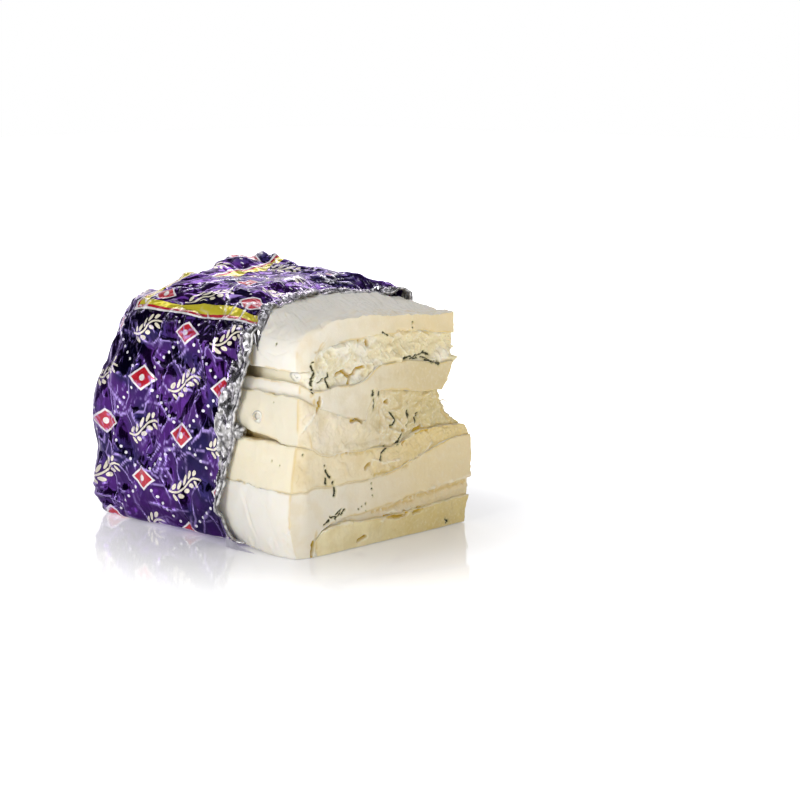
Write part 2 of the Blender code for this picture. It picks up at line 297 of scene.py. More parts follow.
# Behind the block the wall is white up to a little above the table, and dark over that
wall = studio.step(looking(WALL_SIDE), 0.80, 0.92) * studio.step(looking(UP), 0.44, 0.26)
room = studio.blend(wall, room, (1.3, 1.3, 1.3))
print("the room has", len(world.node_tree.nodes), "nodes")

# %% What each kind of ray sees
# Mirror-like facets see the room, soft light comes from an even grey, and the eye sees plain white
diffuse_ray = studio.node("ShaderNodeLightPath", {}, {}, "Is Diffuse Ray")
camera_ray = studio.node("ShaderNodeLightPath", {}, {}, "Is Camera Ray")
seen = studio.blend(diffuse_ray, room, (0.20, 0.20, 0.205))
seen = studio.blend(camera_ray, seen, (1.0, 1.0, 1.0))
backdrop = studio.node("ShaderNodeBackground", {}, {"Color": seen, "Strength": 1.0})
world_output = world.node_tree.nodes.new("ShaderNodeOutputWorld")
world.node_tree.links.new(backdrop.socket, world_output.inputs["Surface"])
bpy.context.scene.view_settings.view_transform = "Standard"
print("world ready")

# %% [markdown]
# ## Handwork helpers
#
# In edit mode an operator works on what is selected, so each step here starts from one selected
# piece, and picks its faces by where they are and which way they look. Noise is made from hashed
# corners of a grid, which gives the same lumps on every run.


# %% Selecting
def alone(piece):
    """Only this piece is selected, and it is the active one."""
    bpy.ops.object.select_all(action="DESELECT")
    piece.select_set(True)
    bpy.context.view_layer.objects.active = piece


def edit(piece, *steps):
    """Runs operators on this piece in edit mode."""
    alone(piece)
    bpy.ops.object.mode_set(mode="EDIT")
    for run in steps:
        run()
    bpy.ops.object.mode_set(mode="OBJECT")


print("selecting ready")


# %% Reading and moving points
def points_of(piece):
    """Every point in millimetres, and its normal."""
    mesh = piece.data
    where = np.empty(len(mesh.vertices) * 3)
    mesh.vertices.foreach_get("co", where)
    facing = np.empty(len(mesh.vertices) * 3)
    mesh.vertex_normals.foreach_get("vector", facing)
    return where.reshape(-1, 3) / MM, facing.reshape(-1, 3)


def put_points(piece, where):
    piece.data.vertices.foreach_set("co", (where * MM).ravel())
    piece.data.update()


def faces_of(piece):
    """The middle of every face in millimetres, and its normal."""
    mesh = piece.data
    middle = np.empty(len(mesh.polygons) * 3)
    mesh.polygons.foreach_get("center", middle)
    facing = np.empty(len(mesh.polygons) * 3)
    mesh.polygons.foreach_get("normal", facing)
    return middle.reshape(-1, 3) / MM, facing.reshape(-1, 3)


print("points and faces in millimetres ready")


# %% Picking, painting and modifiers
def pick(piece, chosen):
    """Selects these faces and nothing else."""
    bpy.context.tool_settings.mesh_select_mode = (False, False, True)
    edit(piece, lambda: bpy.ops.mesh.select_all(action="DESELECT"))
    piece.data.polygons.foreach_set("select", chosen)


def sharpness(piece):
    """How much each point stands out from its neighbours: over 0 on ridges, under 0 in valleys."""
    mesh = piece.data
    ends = np.empty(len(mesh.edges) * 2, dtype=np.int64)
    mesh.edges.foreach_get("vertices", ends)
    one, other = ends.reshape(-1, 2).T
    where, facing = points_of(piece)
    count = np.bincount(ends, minlength=len(where))
    pull = np.zeros(len(where))
    for axis in range(3):
        step = where[other, axis] - where[one, axis]
        total = np.bincount(one, step, len(where)) - np.bincount(other, step, len(where))
        pull -= total * facing[:, axis]
    return pull / np.maximum(count, 1)


def paint(piece, name, values):
    """Stores a value on each point, for the material to read."""
    layer = piece.data.attributes.new(name, "FLOAT", "POINT")
    layer.data.foreach_set("value", np.clip(values, 0.0, 1.0).astype(np.float32))


def shape_with(piece, kind, **settings):
    """Adds a modifier and applies it."""
    made = piece.modifiers.new(kind.lower(), kind)
    for name, value in settings.items():
        setattr(made, name, value)
    alone(piece)
    bpy.ops.object.modifier_apply(modifier=made.name)


print("picking, painting and modifiers ready")


# %% Curves and noise
def smooth(value, low, high):
    """0 under low, 1 over high, smooth between."""
    t = np.clip((value - low) / (high - low), 0.0, 1.0)
    return t * t * (3.0 - 2.0 * t)


def bump(distance, width):
    """1 at no distance, falling off smoothly about this width."""
    return np.exp(-((distance / width) ** 2))


def corner_value(cell, seed):
    """A fixed random number from -1 to 1 for each corner of the grid."""
    x, y, z = (cell[:, axis].astype(np.int64) for axis in range(3))
    mixed = (x * 73856093) ^ (y * 19349663) ^ (z * 83492791) ^ (seed * 2654435761)
    mixed = (mixed ^ (mixed >> 13)) * 1274126177 & 0xFFFFFFFF
    mixed = (mixed ^ (mixed >> 16)) * 2246822519 & 0xFFFFFFFF
    return ((mixed ^ (mixed >> 15)) & 0xFFFFFF) / 8388607.5 - 1.0


# Turned like this, the grid's own directions don't show in the noise
TURN = np.array([[0.36, 0.48, -0.8], [-0.8, 0.6, 0.0], [0.48, 0.64, 0.6]])


def lumps(where, size, seed=0):
    """Soft noise from -1 to 1 with lumps of this size."""
    scaled = where @ TURN.T / size + 57.3
    cell = np.floor(scaled)
    part = scaled - cell
    ease = part**3 * (part * (part * 6.0 - 15.0) + 10.0)
    total = np.zeros(len(where))
    for corner in range(8):
        shift = np.array([corner & 1, corner >> 1 & 1, corner >> 2 & 1])
        weight = np.prod(np.where(shift, ease, 1.0 - ease), axis=1)
        total += weight * corner_value(cell + shift, seed)
    return total


def facets(where, size, seed=0):
    """Like lumps, but straight between its corners: flat facets that meet in sharp creases."""
    scaled = where @ TURN.T / size + 31.7
    cell = np.floor(scaled)
    part = scaled - cell
    order = np.argsort(-part, axis=1)
    part = np.take_along_axis(part, order, axis=1)
    total = (1.0 - part[:, 0]) * corner_value(cell, seed)
    for turn in range(3):
        cell = cell + np.eye(3)[order[:, turn]]
        after = part[:, turn + 1] if turn < 2 else 0.0
        total += (part[:, turn] - after) * corner_value(cell, seed)
    return total


print("noise at the origin:", round(float(lumps(np.zeros((1, 3)), 5.0)[0]), 3))


# %% Distances
def distance_to(where, line):
    """How far each point is from the nearest point of a line, and which one that is."""
    tree = KDTree(len(line))
    for index, point in enumerate(line):
        tree.insert(point, index)
    tree.balance()
    found = [tree.find(point)[1:] for point in where]
    return np.array([f[1] for f in found]), np.array([f[0] for f in found])


def to_stroke(y, z, stroke):
    """How far each point is from a stroke drawn on the cut face as a few (y, z) points."""
    best = np.full(len(y), 1e9)
    ends = zip(stroke, stroke[1:]) if len(stroke) > 1 else [(stroke[0], stroke[0])]
    for (y0, z0), (y1, z1) in ends:
        length = max((y1 - y0) ** 2 + (z1 - z0) ** 2, 1e-9)
        t = np.clip(((y - y0) * (y1 - y0) + (z - z0) * (z1 - z0)) / length, 0.0, 1.0)
        best = np.minimum(best, np.hypot(y - y0 - t * (y1 - y0), z - z0 - t * (z1 - z0)))
    return best


print("distances ready")

# %% [markdown]
# ## Where the knife went: marks on the cut face
#
# Blue mould grows in thin seams and finer hairs, and the knife opens small ochre pockets beside
# them, leaves shallow grooves where a layer is moist, and turns up folds of paste. They could be
# scattered at random, but the eye knows the block by these few marks, so each is drawn as a short
# stroke at its own place on the cut: a few points of how far across and how high.

# %% Veins and hairs
VEINS = (
    ((-43.1, 84.0),),
    ((-43.6, 82.4), (-42.5, 79.7), (-43.8, 77.4)),
    ((-43.4, 76.2), (-43.4, 74.7)),
    ((-42.6, 72.7), (-42.8, 71.6)),
    ((-32.9, 78.5), (-33.9, 76.5), (-34.9, 74.9)),
    ((-34.6, 75.4), (-32.3, 72.2)),
    ((24.9, 80.7), (27.5, 81.4), (30.7, 80.0)),
    ((27.8, 77.7), (31.9, 76.7), (35.6, 75.5)),
    ((-7.2, 68.0), (-7.0, 65.7)),
    ((-6.4, 64.3), (-6.0, 62.7)),
    ((-5.5, 61.3), (-4.8, 59.8)),
    ((-1.9, 66.7), (-2.2, 65.4)),
    ((7.2, 56.1), (8.4, 53.3), (7.1, 50.8)),
    ((18.6, 55.4), (19.3, 52.2), (17.0, 49.4)),
    ((24.3, 53.5), (23.6, 51.3), (22.9, 49.6)),
    ((12.4, 46.7), (11.1, 44.3), (9.5, 42.1)),
    ((2.6, 41.5), (-1.8, 39.6), (-2.4, 36.5)),
    ((-35.3, 36.8), (-34.3, 34.9), (-33.0, 33.2)),
    ((-35.5, 33.4), (-35.6, 31.4)),
    ((-36.2, 38.8),),
    ((-31.4, 30.9),),
    ((-31.2, 28.9), (-30.4, 27.4)),
    ((-30.4, 26.5), (-31.1, 25.4)),
    ((40.0, 3.0), (41.5, 2.4), (40.4, 1.4)),
    ((8.1, 54.2), (8.9, 52.6)),
    ((19.6, 53.6), (19.0, 51.0)),
)
HAIRS = (
    ((-39.6, 75.0), (-36.4, 76.6)),
    ((-0.9, 93.3), (3.1, 91.2)),
    ((25.8, 79.3), (29.8, 78.0)),
    ((22.5, 79.7), (25.0, 81.2)),
    ((19.3, 79.3), (23.3, 79.4)),
    ((17.6, 79.4), (22.3, 80.8)),
    ((13.6, 79.9), (18.0, 80.6)),
    ((-33.4, 16.0), (-29.5, 15.8)),
    ((-30.7, 14.6), (-27.2, 16.7)),
    ((-29.7, 16.7), (-26.4, 18.3)),
    ((-26.8, 16.0), (-24.5, 17.6)),
    ((-34.2, 14.8), (-37.2, 13.1)),
    ((-15.8, 16.8),),
    ((-14.0, 17.4),),
    ((-11.5, 18.3),),
    ((-11.7, 15.2),),
    ((-8.3, 26.8),),
    ((-7.6, 24.5),),
    ((-7.2, 21.7),),
    ((18.7, 95.9),),
    ((18.6, 93.4),),
    ((-48.9, 45.3),),
)
print(len(VEINS), "veins and", len(HAIRS), "hairs")

# %% Pockets, grooves and folds
POCKETS = (
    ((-10.1, 90.4), (-9.3, 88.2)),
    ((-14.8, 91.0),),
    ((-27.3, 77.5), (-24.7, 78.4), (-23.3, 78.0)),
    ((-23.3, 78.0), (-19.9, 75.3), (-21.1, 72.9)),
    ((-18.9, 75.7), (-15.4, 78.4), (-11.5, 79.0)),
    ((-20.7, 56.6), (-16.2, 56.3), (-14.2, 55.2)),
    ((-39.0, 68.1), (-39.7, 65.6), (-41.1, 62.8)),
    ((3.0, 61.8), (4.7, 61.4)),
    ((7.0, 50.1),),
    ((14.9, 47.3), (14.0, 44.3)),
    ((21.1, 45.5), (26.6, 46.3), (28.8, 46.3)),
    ((23.0, 46.6), (26.8, 47.8)),
    ((12.2, 42.2), (14.1, 43.2)),
    ((-11.5, 34.6), (-9.0, 35.9)),
    ((1.4, 10.5), (7.2, 9.5), (12.0, 9.4)),
    ((13.4, 9.9), (14.3, 10.7)),
    ((18.9, 9.6), (24.9, 10.7)),
    ((-16.4, 2.8), (-11.7, 3.9)),
    ((-43.9, 7.0), (-44.7, 0.1)),
    ((-23.0, 42.9),),
)
GROOVES = (
    ((-9.0, 30.2), (-4.6, 31.2), (1.8, 30.8), (8.0, 31.4), (15.8, 31.7)),
    ((12.2, 16.0), (28.3, 16.9), (42.4, 17.6), (55.5, 18.6)),
    ((9.1, 92.3), (15.8, 91.8), (21.3, 91.0)),
    ((24.5, 90.8), (31.8, 89.8)),
    ((-9.1, 79.1), (-3.1, 79.8)),
    ((-30.0, 42.8), (-23.4, 43.0), (-15.4, 42.1), (-7.2, 41.3)),
    ((30.3, 46.2), (37.9, 46.7), (42.2, 45.9)),
    ((-5.4, 13.5), (5.2, 14.1), (12.1, 14.8), (19.9, 14.9)),
)
FOLDS = (
    ((-43.4, 77.2), (-40.3, 78.7), (-37.8, 80.8), (-32.5, 85.0)),
    ((-38.2, 67.7), (-39.0, 64.8), (-43.5, 61.5), (-48.2, 56.1)),
    ((-2.6, 9.2), (4.3, 11.9), (14.8, 10.9), (18.5, 11.5)),
    ((-43.4, 7.2), (-39.4, 10.6), (-29.8, 11.9), (-20.4, 11.7)),
    ((17.2, 33.5), (26.3, 36.4), (32.0, 40.0)),
    ((-7.7, 37.4), (0.2, 34.9), (10.6, 35.2)),
    ((20.0, 17.8), (31.9, 19.2), (45.4, 20.4), (56.6, 21.0)),
)
print(len(POCKETS), "pockets,", len(GROOVES), "grooves and", len(FOLDS), "folds")

# %% [markdown]
# ## The layers
#
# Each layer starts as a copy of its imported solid: the loose triangles are merged, paired into
# quads, and its sharp edges creased so that Subdivision Surface rounds the body of the layer but
# keeps the crisp line where two layers meet. Where sharp edges run close together at the near
# corner the fine mesh can lie double, and a few rounds of smoothing pull it flat again. The cut
# face is then divided once more for the fine marks. Sculpting by hand would do for one look, but
# a formula on the points can be tuned.


# %% Tracing a layer
def traced(node, name):
    """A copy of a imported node, merged and paired into quads."""
    piece = bpy.data.objects.new(name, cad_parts[node].data.copy())
    bpy.context.scene.collection.objects.link(piece)
    piece.data.name = name
    piece.data.materials.clear()
    bpy.context.tool_settings.mesh_select_mode = (True, True, True)
    edit(
        piece,
        lambda: bpy.ops.mesh.select_all(action="SELECT"),
        lambda: bpy.ops.mesh.remove_doubles(threshold=0.00001),
        lambda: bpy.ops.mesh.tris_convert_to_quads(face_threshold=1.2, shape_threshold=1.2),
    )
    return piece


def refined(piece, levels, sharp):
    """Creases the sharp edges and subdivides."""
    bpy.context.tool_settings.mesh_select_mode = (False, True, False)
    edit(
        piece,
        lambda: bpy.ops.mesh.select_all(action="DESELECT"),
        lambda: bpy.ops.mesh.edges_select_sharp(sharpness=math.radians(sharp)),
        lambda: bpy.ops.transform.edge_crease(value=1.0),
    )
    shape_with(piece, "SUBSURF", levels=levels, render_levels=levels)


trial = traced("mascarpone_thin", "trial")
refined(trial, 1, 50.0)
print("a traced layer has", len(trial.data.polygons), "faces at one level")
bpy.data.objects.remove(trial)


# %% Relaxing the near corner
def face_points(piece):
    """The point number of every corner of every face, and how many corners each face has."""
    mesh = piece.data
    owners = np.empty(len(mesh.loops), dtype=np.int64)
    mesh.loops.foreach_get("vertex_index", owners)
    totals = np.empty(len(mesh.polygons), dtype=np.int64)
    mesh.polygons.foreach_get("loop_total", totals)
    return owners, totals


def unfolded(piece):
    """Relaxes the few places at the near corner where the fine mesh lies double."""
    middle, facing = faces_of(piece)
    double = (facing[:, 0] < -0.2) & (middle[:, 0] > 66.0)
    if not double.any():
        return
    where = points_of(piece)[0]
    shown = np.flatnonzero(where[:, 0] > 60.0)
    away = np.full(len(where), 1e3)
    away[shown] = distance_to(where[shown], middle[double])[0]
    owners, totals = face_points(piece)
    loose = away < 1.5
    # Points of the level faces stay, because the layers meet there
    loose[owners[np.repeat(np.abs(facing[:, 2]) > 0.5, totals)]] = False
    bpy.context.tool_settings.mesh_select_mode = (True, False, False)
    edit(piece, lambda: bpy.ops.mesh.select_all(action="DESELECT"))
    piece.data.vertices.foreach_set("select", loose)
    edit(piece, lambda: bpy.ops.mesh.vertices_smooth(factor=0.5, repeat=150))


print("corner relaxing ready")

# %% [markdown]
# ## Shaping before the marks
#
# Some forms are larger than a mark and smaller than a layer: the blue paste that comes out level
# with the rind near the cut, the crack that is only deep beside the foil, the two lower layers that
# were cut flush. Each is a small move of the points of one layer. Last, one slow wave shifts all
# layers alike, so that their meeting lines wander as poured curd does and still fit each other.


# %% Larger forms
def fill_recess(where, facing):
    """Upper blue: level with the rind towards the cut."""
    x, y, z = where.T
    out = 5.6 * smooth(x, 28.0, 43.0) * (1.0 - smooth(z, 80.4, 81.1))
    where[:, 1] -= out * np.clip((-y - 38.0) / 7.0, 0.0, 1.0)
    return where


def close_crack(where, facing):
    """Middle blue: the crack under it stays deep beside the foil, elsewhere it has a near wall."""
    x, y, z = where.T
    gape = 5.0 * (1.0 - smooth(x, 30.0, 68.0)) * smooth(x, 4.0, 18.0)
    shut = smooth(y, -50.5, -46.0) * smooth(x, 22.0, 33.0) * (z < 56.0) * smooth(-facing[:, 2], 0.2, 0.6)
    where[:, 2] -= gape * shut
    flush = smooth(facing[:, 0], 0.3, 0.7) * smooth(x, 55.0, 64.0)
    where[:, 0] += 0.45 * flush * (1.0 - smooth(y, -14.0, -3.0))
    return where


def flush_low(where, facing):
    """Lower blue: cut level with its neighbours on the near half."""
    x, y, z = where.T
    flush = smooth(facing[:, 0], 0.3, 0.7) * smooth(x, 55.0, 64.0)
    where[:, 0] += 0.5 * flush * (1.0 - smooth(y, -6.0, 12.0))
    return where


def film_folds(where, facing):
    """Lower white: its skin is creased like film, most of all by the table and the foil."""
    x, y, z = where.T
    side = smooth(-facing[:, 1], 0.4, 0.85) * smooth(x, 18.0, 24.0)
    slant = (z - 14.0) + 1.9 * (x - 44.0)
    crease = bump(slant, 2.2) * smooth(z, 2.0, 8.0) * (1.0 - smooth(z, 18.0, 27.0))
    foot = (1.0 - smooth(z, 2.0, 12.0)) * np.abs(lumps(where * (1.0, 1.0, 0.5), 3.4, 26))
    near_cut = smooth(x, 60.0, 70.0) * np.abs(lumps(where, 2.8, 27)) * bump(z - 8.0, 12.0)
    where[:, 1] += side * (0.55 * crease + 0.9 * foot + 0.8 * near_cut)
    return where


def as_packed(where, facing):
    """The layers that need no larger form."""
    return where


print("larger forms ready")


# %% The slow wave
def wander(where):
    """The same slow shift for every layer."""
    x, y, z = where.T
    free = smooth(z, 0.3, 5.0) * smooth(x, 8.0, 22.0)
    upright = where * (1.0, 1.0, 0.4)
    slow = 0.6 * lumps(upright, 8.0, 71) + 0.4 * lumps(upright, 3.1, 72) + 0.16 * lumps(upright, 1.3, 75)
    where[:, 2] += free * slow
    where[:, 1] += free * 0.3 * lumps(where * (1.0, 0.3, 1.0), 6.0, 73)
    where[:, 0] += free * 0.25 * lumps(where * (0.3, 1.0, 1.0), 7.0, 74)
    return where


print("slow wave ready")

# %% [markdown]
# ## Cut, far edge, rind and top
#
# Each side of a layer has its own touch. The knife leaves crumbs and drag lines on the cut, and
# drags burrs out past its far edge. The rind side is smooth, with two marks where the needle went
# in that lets the mould breathe. The top has the close lines of a cloth. Bumps in the material
# would be easier, but the veins and burrs show against the white, so the points themselves move.


# %% Marks on the cut face
def strongest(strokes, y, z, mark):
    """The strongest mark that any of the strokes leaves at each point."""
    best = np.zeros(len(y))
    for stroke in strokes:
        best = np.maximum(best, mark(to_stroke(y, z, stroke)))
    return best


def cut_marks(y, z):
    """How much of a vein, a pocket, a fold and a groove each point of the cut face has."""
    plane = np.stack([y, z, 0.0 * y], axis=1)
    ragged = lumps(plane, 1.3, 5)
    y = y + 0.4 * lumps(plane, 1.8, 3)
    z = z + 0.4 * lumps(plane, 1.8, 4)
    worn = smooth(ragged, -0.9, 0.1)
    vein = strongest(VEINS, y, z, lambda away: bump(away, 0.8 + 0.4 * ragged))
    hair = strongest(HAIRS, y, z, lambda away: 0.95 * bump(away, 0.5 + 0.25 * ragged))
    pocket = strongest(POCKETS, y, z, lambda away: 1.0 - smooth(away, 0.25, 1.15 + 0.45 * ragged))
    fold = strongest(FOLDS, y, z, lambda away: (0.75 + 0.25 * ragged) * bump(away, 0.7 + 0.35 * ragged))
    groove = strongest(GROOVES, y, z, lambda away: worn * bump(away, 0.9 + 0.4 * ragged))
    return np.maximum(vein, hair), pocket, fold, groove


middle_marks = cut_marks(np.zeros(1), np.full(1, 60.0))
print("marks at the middle of the cut:", [round(float(mark[0]), 2) for mark in middle_marks])


# %% Crumbs, knife marks and cloth lines
def crumbs(where, amount):
    """The torn, smeared face of a blue layer: swirls with sharp ridges, and fine crumbs."""
    swirl = where + 2.6 * np.stack([lumps(where, 6.0, seed) for seed in (11, 12, 13)], axis=1)
    steps = facets(swirl * (1.0, 0.65, 1.2), 6.4, 14) + 0.35 * facets(swirl, 2.9, 15)
    peaks = 1.3 * np.clip(lumps(swirl, 3.6, 17) - 0.15, 0.0, 1.0)
    peaks += 0.5 * np.clip(lumps(where, 1.5, 18) - 0.3, 0.0, 1.0)
    return amount * (0.85 * steps + 1.2 * peaks + 0.12 * lumps(where, 0.9, 16))


def knife_marks(where):
    """Faint upright drag lines, and a slow swell."""
    streaks = smooth(lumps(where, 14.0, 20), -0.1, 0.5) * lumps(where * (0.2, 1.0, 0.07), 1.7, 21)
    return 0.05 * streaks + 0.3 * lumps(where, 13.0, 22) + 0.12 * lumps(where, 4.5, 19)


def brushed(where):
    """The close lines on top of the loaf, left by the cloth it was pressed in."""
    across = where[:, 0] * 0.44 + where[:, 1] * 0.90
    along = where[:, 0] * 0.90 - where[:, 1] * 0.44
    lines = np.stack([across / 1.0 + 0.5 * lumps(where, 9.0, 81), along / 22.0, 0.0 * along], axis=1)
    return lumps(lines, 1.0, 82) + 0.6 * lumps(lines * (2.1, 1.6, 1.0), 1.0, 83)


print("crumbs, knife marks and cloth lines ready")


# %% How far a point is from a seam
def seam_distance(piece, where):
    """How far each point is from the sharp edges where this layer meets its neighbours."""
    mesh = piece.data
    sharp = np.zeros(len(mesh.edges))
    mesh.attributes["crease_edge"].data.foreach_get("value", sharp)
    ends = np.empty(len(mesh.edges) * 2, dtype=np.int64)
    mesh.edges.foreach_get("vertices", ends)
    on_seam = np.unique(ends.reshape(-1, 2)[sharp > 0.5])
    shown = np.flatnonzero(where[:, 0] > 20.0)
    away = np.full(len(where), 1e3)
    away[shown] = distance_to(where[shown], where[on_seam])[0]
    return away


print("seam distance ready")


# %% The cut face
def cut_share(where, facing):
    """How much each point looks towards the knife, and how much of it is cut face."""
    x = where[:, 0]
    towards = np.where(x > 66.0, np.abs(facing[:, 0]), facing[:, 0])
    return towards, smooth(towards, 0.35, 0.8) * smooth(x, 52.0, 62.0)


def carve(where, cut, seam, marks, crumble, rind):
    """Moves the cut face in and out."""
    vein, pocket, fold, groove = marks
    rough = crumble if rind == "upper" else crumble * (0.45 + 0.75 * smooth(where[:, 1], -12.0, 4.0))
    depth = knife_marks(where) + crumbs(where, rough) - 0.9 * vein - 2.3 * pocket + 0.75 * fold
    depth -= 0.7 * groove
    smeared = 1.0 - 0.8 * bump(seam, 1.0) * smooth(lumps(where, 5.0, 31), -0.5, 0.1)
    where[:, 0] += cut * depth * smeared


def drag_burrs(where, cut, crumble):
    """Burrs that the knife drags out, measured at every height from the layer's own far edge."""
    x, y, z = where.T
    level = np.clip(z, 0.0, 119.0).astype(int)
    reach = np.full(120, -99.0)
    np.maximum.at(reach, level[cut > 0.5], y[cut > 0.5])
    far = cut * smooth(y - reach[level], -5.0, -0.8) * (y > 20.0) * (0.5 + crumble) * smooth(z, 0.5, 3.0)
    where[:, 1] += far * (1.1 * facets(where, 4.0, 32) + 2.2 * np.clip(facets(where, 1.9, 33) - 0.3, 0.0, 1.0))


print("cut face ready")

# %% The rind side
# Where a needle went in, a shallow disc pressed shut: its middle, and half its width and height
RINGS = ((66.0, 78.1, 3.1, 2.4), (46.2, 59.2, 3.0, 3.1))
SCRATCHES = (
    ((47.9, 94.1), (49.5, 95.4), (52.6, 96.8)),
    ((64.9, 92.8), (68.0, 93.9), (71.1, 96.7)),
    ((44.6, 87.9), (48.9, 85.3), (55.2, 83.7)),
    ((51.5, 87.7), (57.7, 86.6), (63.9, 88.9)),
    ((44.0, 19.5), (48.0, 12.5), (51.0, 6.0)),
    ((55.0, 22.0), (60.0, 12.0), (62.0, 4.0)),
)
SPECKS = ((57.1, 91.4, 0.75), (55.6, 66.4, 0.4), (57.0, 41.5, 0.55), (62.0, 40.2, 0.45))


def needle_rings(x, z, grain):
    """Presses each needle mark in. Gives the depth, the thin dark lines, partly painted shade, and the pale
    middles.
    """
    ring = np.zeros(len(x))
    plug = np.zeros(len(x))
    for at_x, at_z, wide, high in RINGS:
        turn = np.arctan2(z - at_z, x - at_x)
        away = np.hypot((x - at_x) / wide, (z - at_z) / high) + 0.06 * np.sin(3.0 * turn + at_x)
        grain = grain - 0.45 * (1.0 - smooth(away, 0.6, 0.95)) + 0.2 * bump(away - 1.02, 0.13)
        # The dark arc on one side of each rim is painted shade
        ring = np.maximum(ring, bump(away - 0.84, 0.1) * smooth(np.cos(turn - 2.6), -0.9, 0.4))
        hair = np.abs((z - at_z) + 0.8 * (x - at_x) + 0.5 * np.sin(x * 2.6))
        ring = np.maximum(ring, 0.9 * bump(hair, 0.3) * (1.0 - smooth(away, 0.3, 0.5)))
        plug = np.maximum(plug, 1.0 - smooth(away, 0.75, 0.9))
    return grain, ring, plug


def grain_side(where, side):
    """The rind's grain, its scratches, specks and needle marks."""
    x, y, z = where.T
    grain = 0.25 * lumps(where, 10.0, 23) + 0.09 * lumps(where, 2.6, 24)
    grain, ring, plug = needle_rings(x, z, grain)
    for stroke in SCRATCHES:
        grain = grain - 0.16 * bump(to_stroke(x, z, stroke), 0.45)
    speck = np.zeros(len(where))
    for at_x, at_z, size in SPECKS:
        speck = np.maximum(speck, bump(np.hypot((x - at_x) * 1.3, z - at_z), size))
    where[:, 1] -= side * (grain - 0.5 * speck)
    return ring, plug, speck


print(len(RINGS), "needle marks,", len(SCRATCHES), "scratches and", len(SPECKS), "specks")


# %% The top, and where neighbours meet
def press_top(where, facing):
    """The cloth's lines on the loaf's top."""
    top = smooth(facing[:, 2], 0.45, 0.9) * (where[:, 2] > 93.0)
    where[:, 2] += top * (0.3 * brushed(where) + 0.3 * lumps(where, 12.0, 25))


def close_gap(where, facing):
    """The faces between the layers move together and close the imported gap."""
    z = where[:, 2]
    flat = np.clip((np.abs(facing[:, 2]) - 0.25) / 0.4, 0.0, 1.0) * (z < 93.5) * (z > 1.5)
    where[:, 2] += np.sign(facing[:, 2]) * flat * 0.24


print("top and gaps ready")

# %% [markdown]
# ## What the paint says
#
# A material can't know where a vein or a crack is, but it can read a value that was stored on each
# point. So the same sums that moved the points are kept as painted values: veins, pockets, painted
# shade deep in the recess and the crack, warm lines at the seams that are partly painted shade,
# pale ridges and folds, which are painted highlights, and needle rings.


# %% Painting a layer
def dark_places(where, facing, bend, cut, side, seam, groove, rind):
    """Painted shade in the deep places, and warm lines, partly painted shade, along seams, hollows and
    grooves.
    """
    x, y, z = where.T
    # Painted shade: darkest deepest in the crack beside the foil, and in the upper layer's recess by the foil
    gap = (z > 46.5) * (z < 57.0) * smooth(y, -51.3, -50.0) * smooth(x, 20.0, 26.0) * (facing[:, 0] < 0.5)
    deep = (1.0 - 0.55 * smooth(x, 38.0, 50.0)) * (1.0 - smooth(x, 50.0, 70.0)) * gap * (rind == "crack")
    recess = (rind == "upper") * (1.0 - smooth(x, 36.0, 47.0)) * (z < 82.0)
    patchy = smooth(lumps(where, 6.5, 28), -0.5, 0.2)
    # Warm lines at the seams and along the foil's edge, partly the paste's own ochre and partly painted shade
    line = bump(seam, 0.5) * patchy * (z < 92.5) * (z > 1.5)
    by_foil = bump(x - 41.0 - 0.6 * lumps(where, 3.0, 29), 1.2) * side * (z > 81.0)
    line = np.maximum(line, by_foil) * np.clip(cut + side + deep, 0.0, 1.0)
    # Painted shade in the hollows between the crumbs
    hollow = 0.4 * smooth(-bend, 0.03, 0.12) * cut
    return np.maximum(deep, recess * 0.6), np.maximum(hollow, np.maximum(line, groove * cut))


def pale_places(where, bend, cut, side, fold, plug, rind):
    """Painted highlights on ridges of crumbs and folds, the paste's milky patches, and pale needle middles."""
    # Painted highlights on the ridges of the crumbs
    ridge = 0.5 * smooth(bend, 0.03, 0.12) * cut
    patch = smooth(lumps(where * (1.0, 1.0, 1.5), 7.0, 34), 0.0, 0.6)
    milky = 0.5 * patch * cut * (1.0 if rind == "upper" else 0.1)
    ridge = np.maximum(ridge, milky)
    return np.maximum(ridge, np.maximum(0.6 * fold * cut, 0.8 * plug * side))


print("layer paints ready")


# %% A whole layer
def shaped(piece, form, crumble, rind):
    """Moves the points of a refined layer and paints them."""
    where, facing = points_of(piece)
    put_points(piece, wander(form(where, facing)))
    where, facing = points_of(piece)
    towards, cut = cut_share(where, facing)
    marks = cut_marks(where[:, 1], where[:, 2])
    vein, pocket, fold, groove = marks
    seam = seam_distance(piece, where)
    carve(where, cut, seam, marks, crumble, rind)
    drag_burrs(where, cut, crumble)
    side = smooth(-facing[:, 1], 0.4, 0.85) * smooth(where[:, 0], 20.0, 30.0) * (1.0 - cut)
    ring, plug, speck = grain_side(where, side)
    press_top(where, facing)
    close_gap(where, facing)
    put_points(piece, where)
    bend = sharpness(piece) * (crumble > 0.2)
    deep_shade, line = dark_places(where, facing, bend, cut, side, seam, groove, rind)
    paint(piece, "deep_shade", deep_shade)
    paint(piece, "line", line)
    paint(piece, "pale", pale_places(where, bend, cut, side, fold, plug, rind))
    paint(piece, "vein", np.maximum(vein * cut, 0.9 * speck * side))
    paint(piece, "pocket", pocket * cut)
    paint(piece, "ring", ring * side)
    turned = towards - 0.4 * np.abs(facing[:, 1]) + 0.12 * lumps(where, 3.0, 30)
    paint(piece, "cut", smooth(turned, -0.2, 0.7) * smooth(where[:, 0], 55.0, 64.0))


print("layer tools ready")
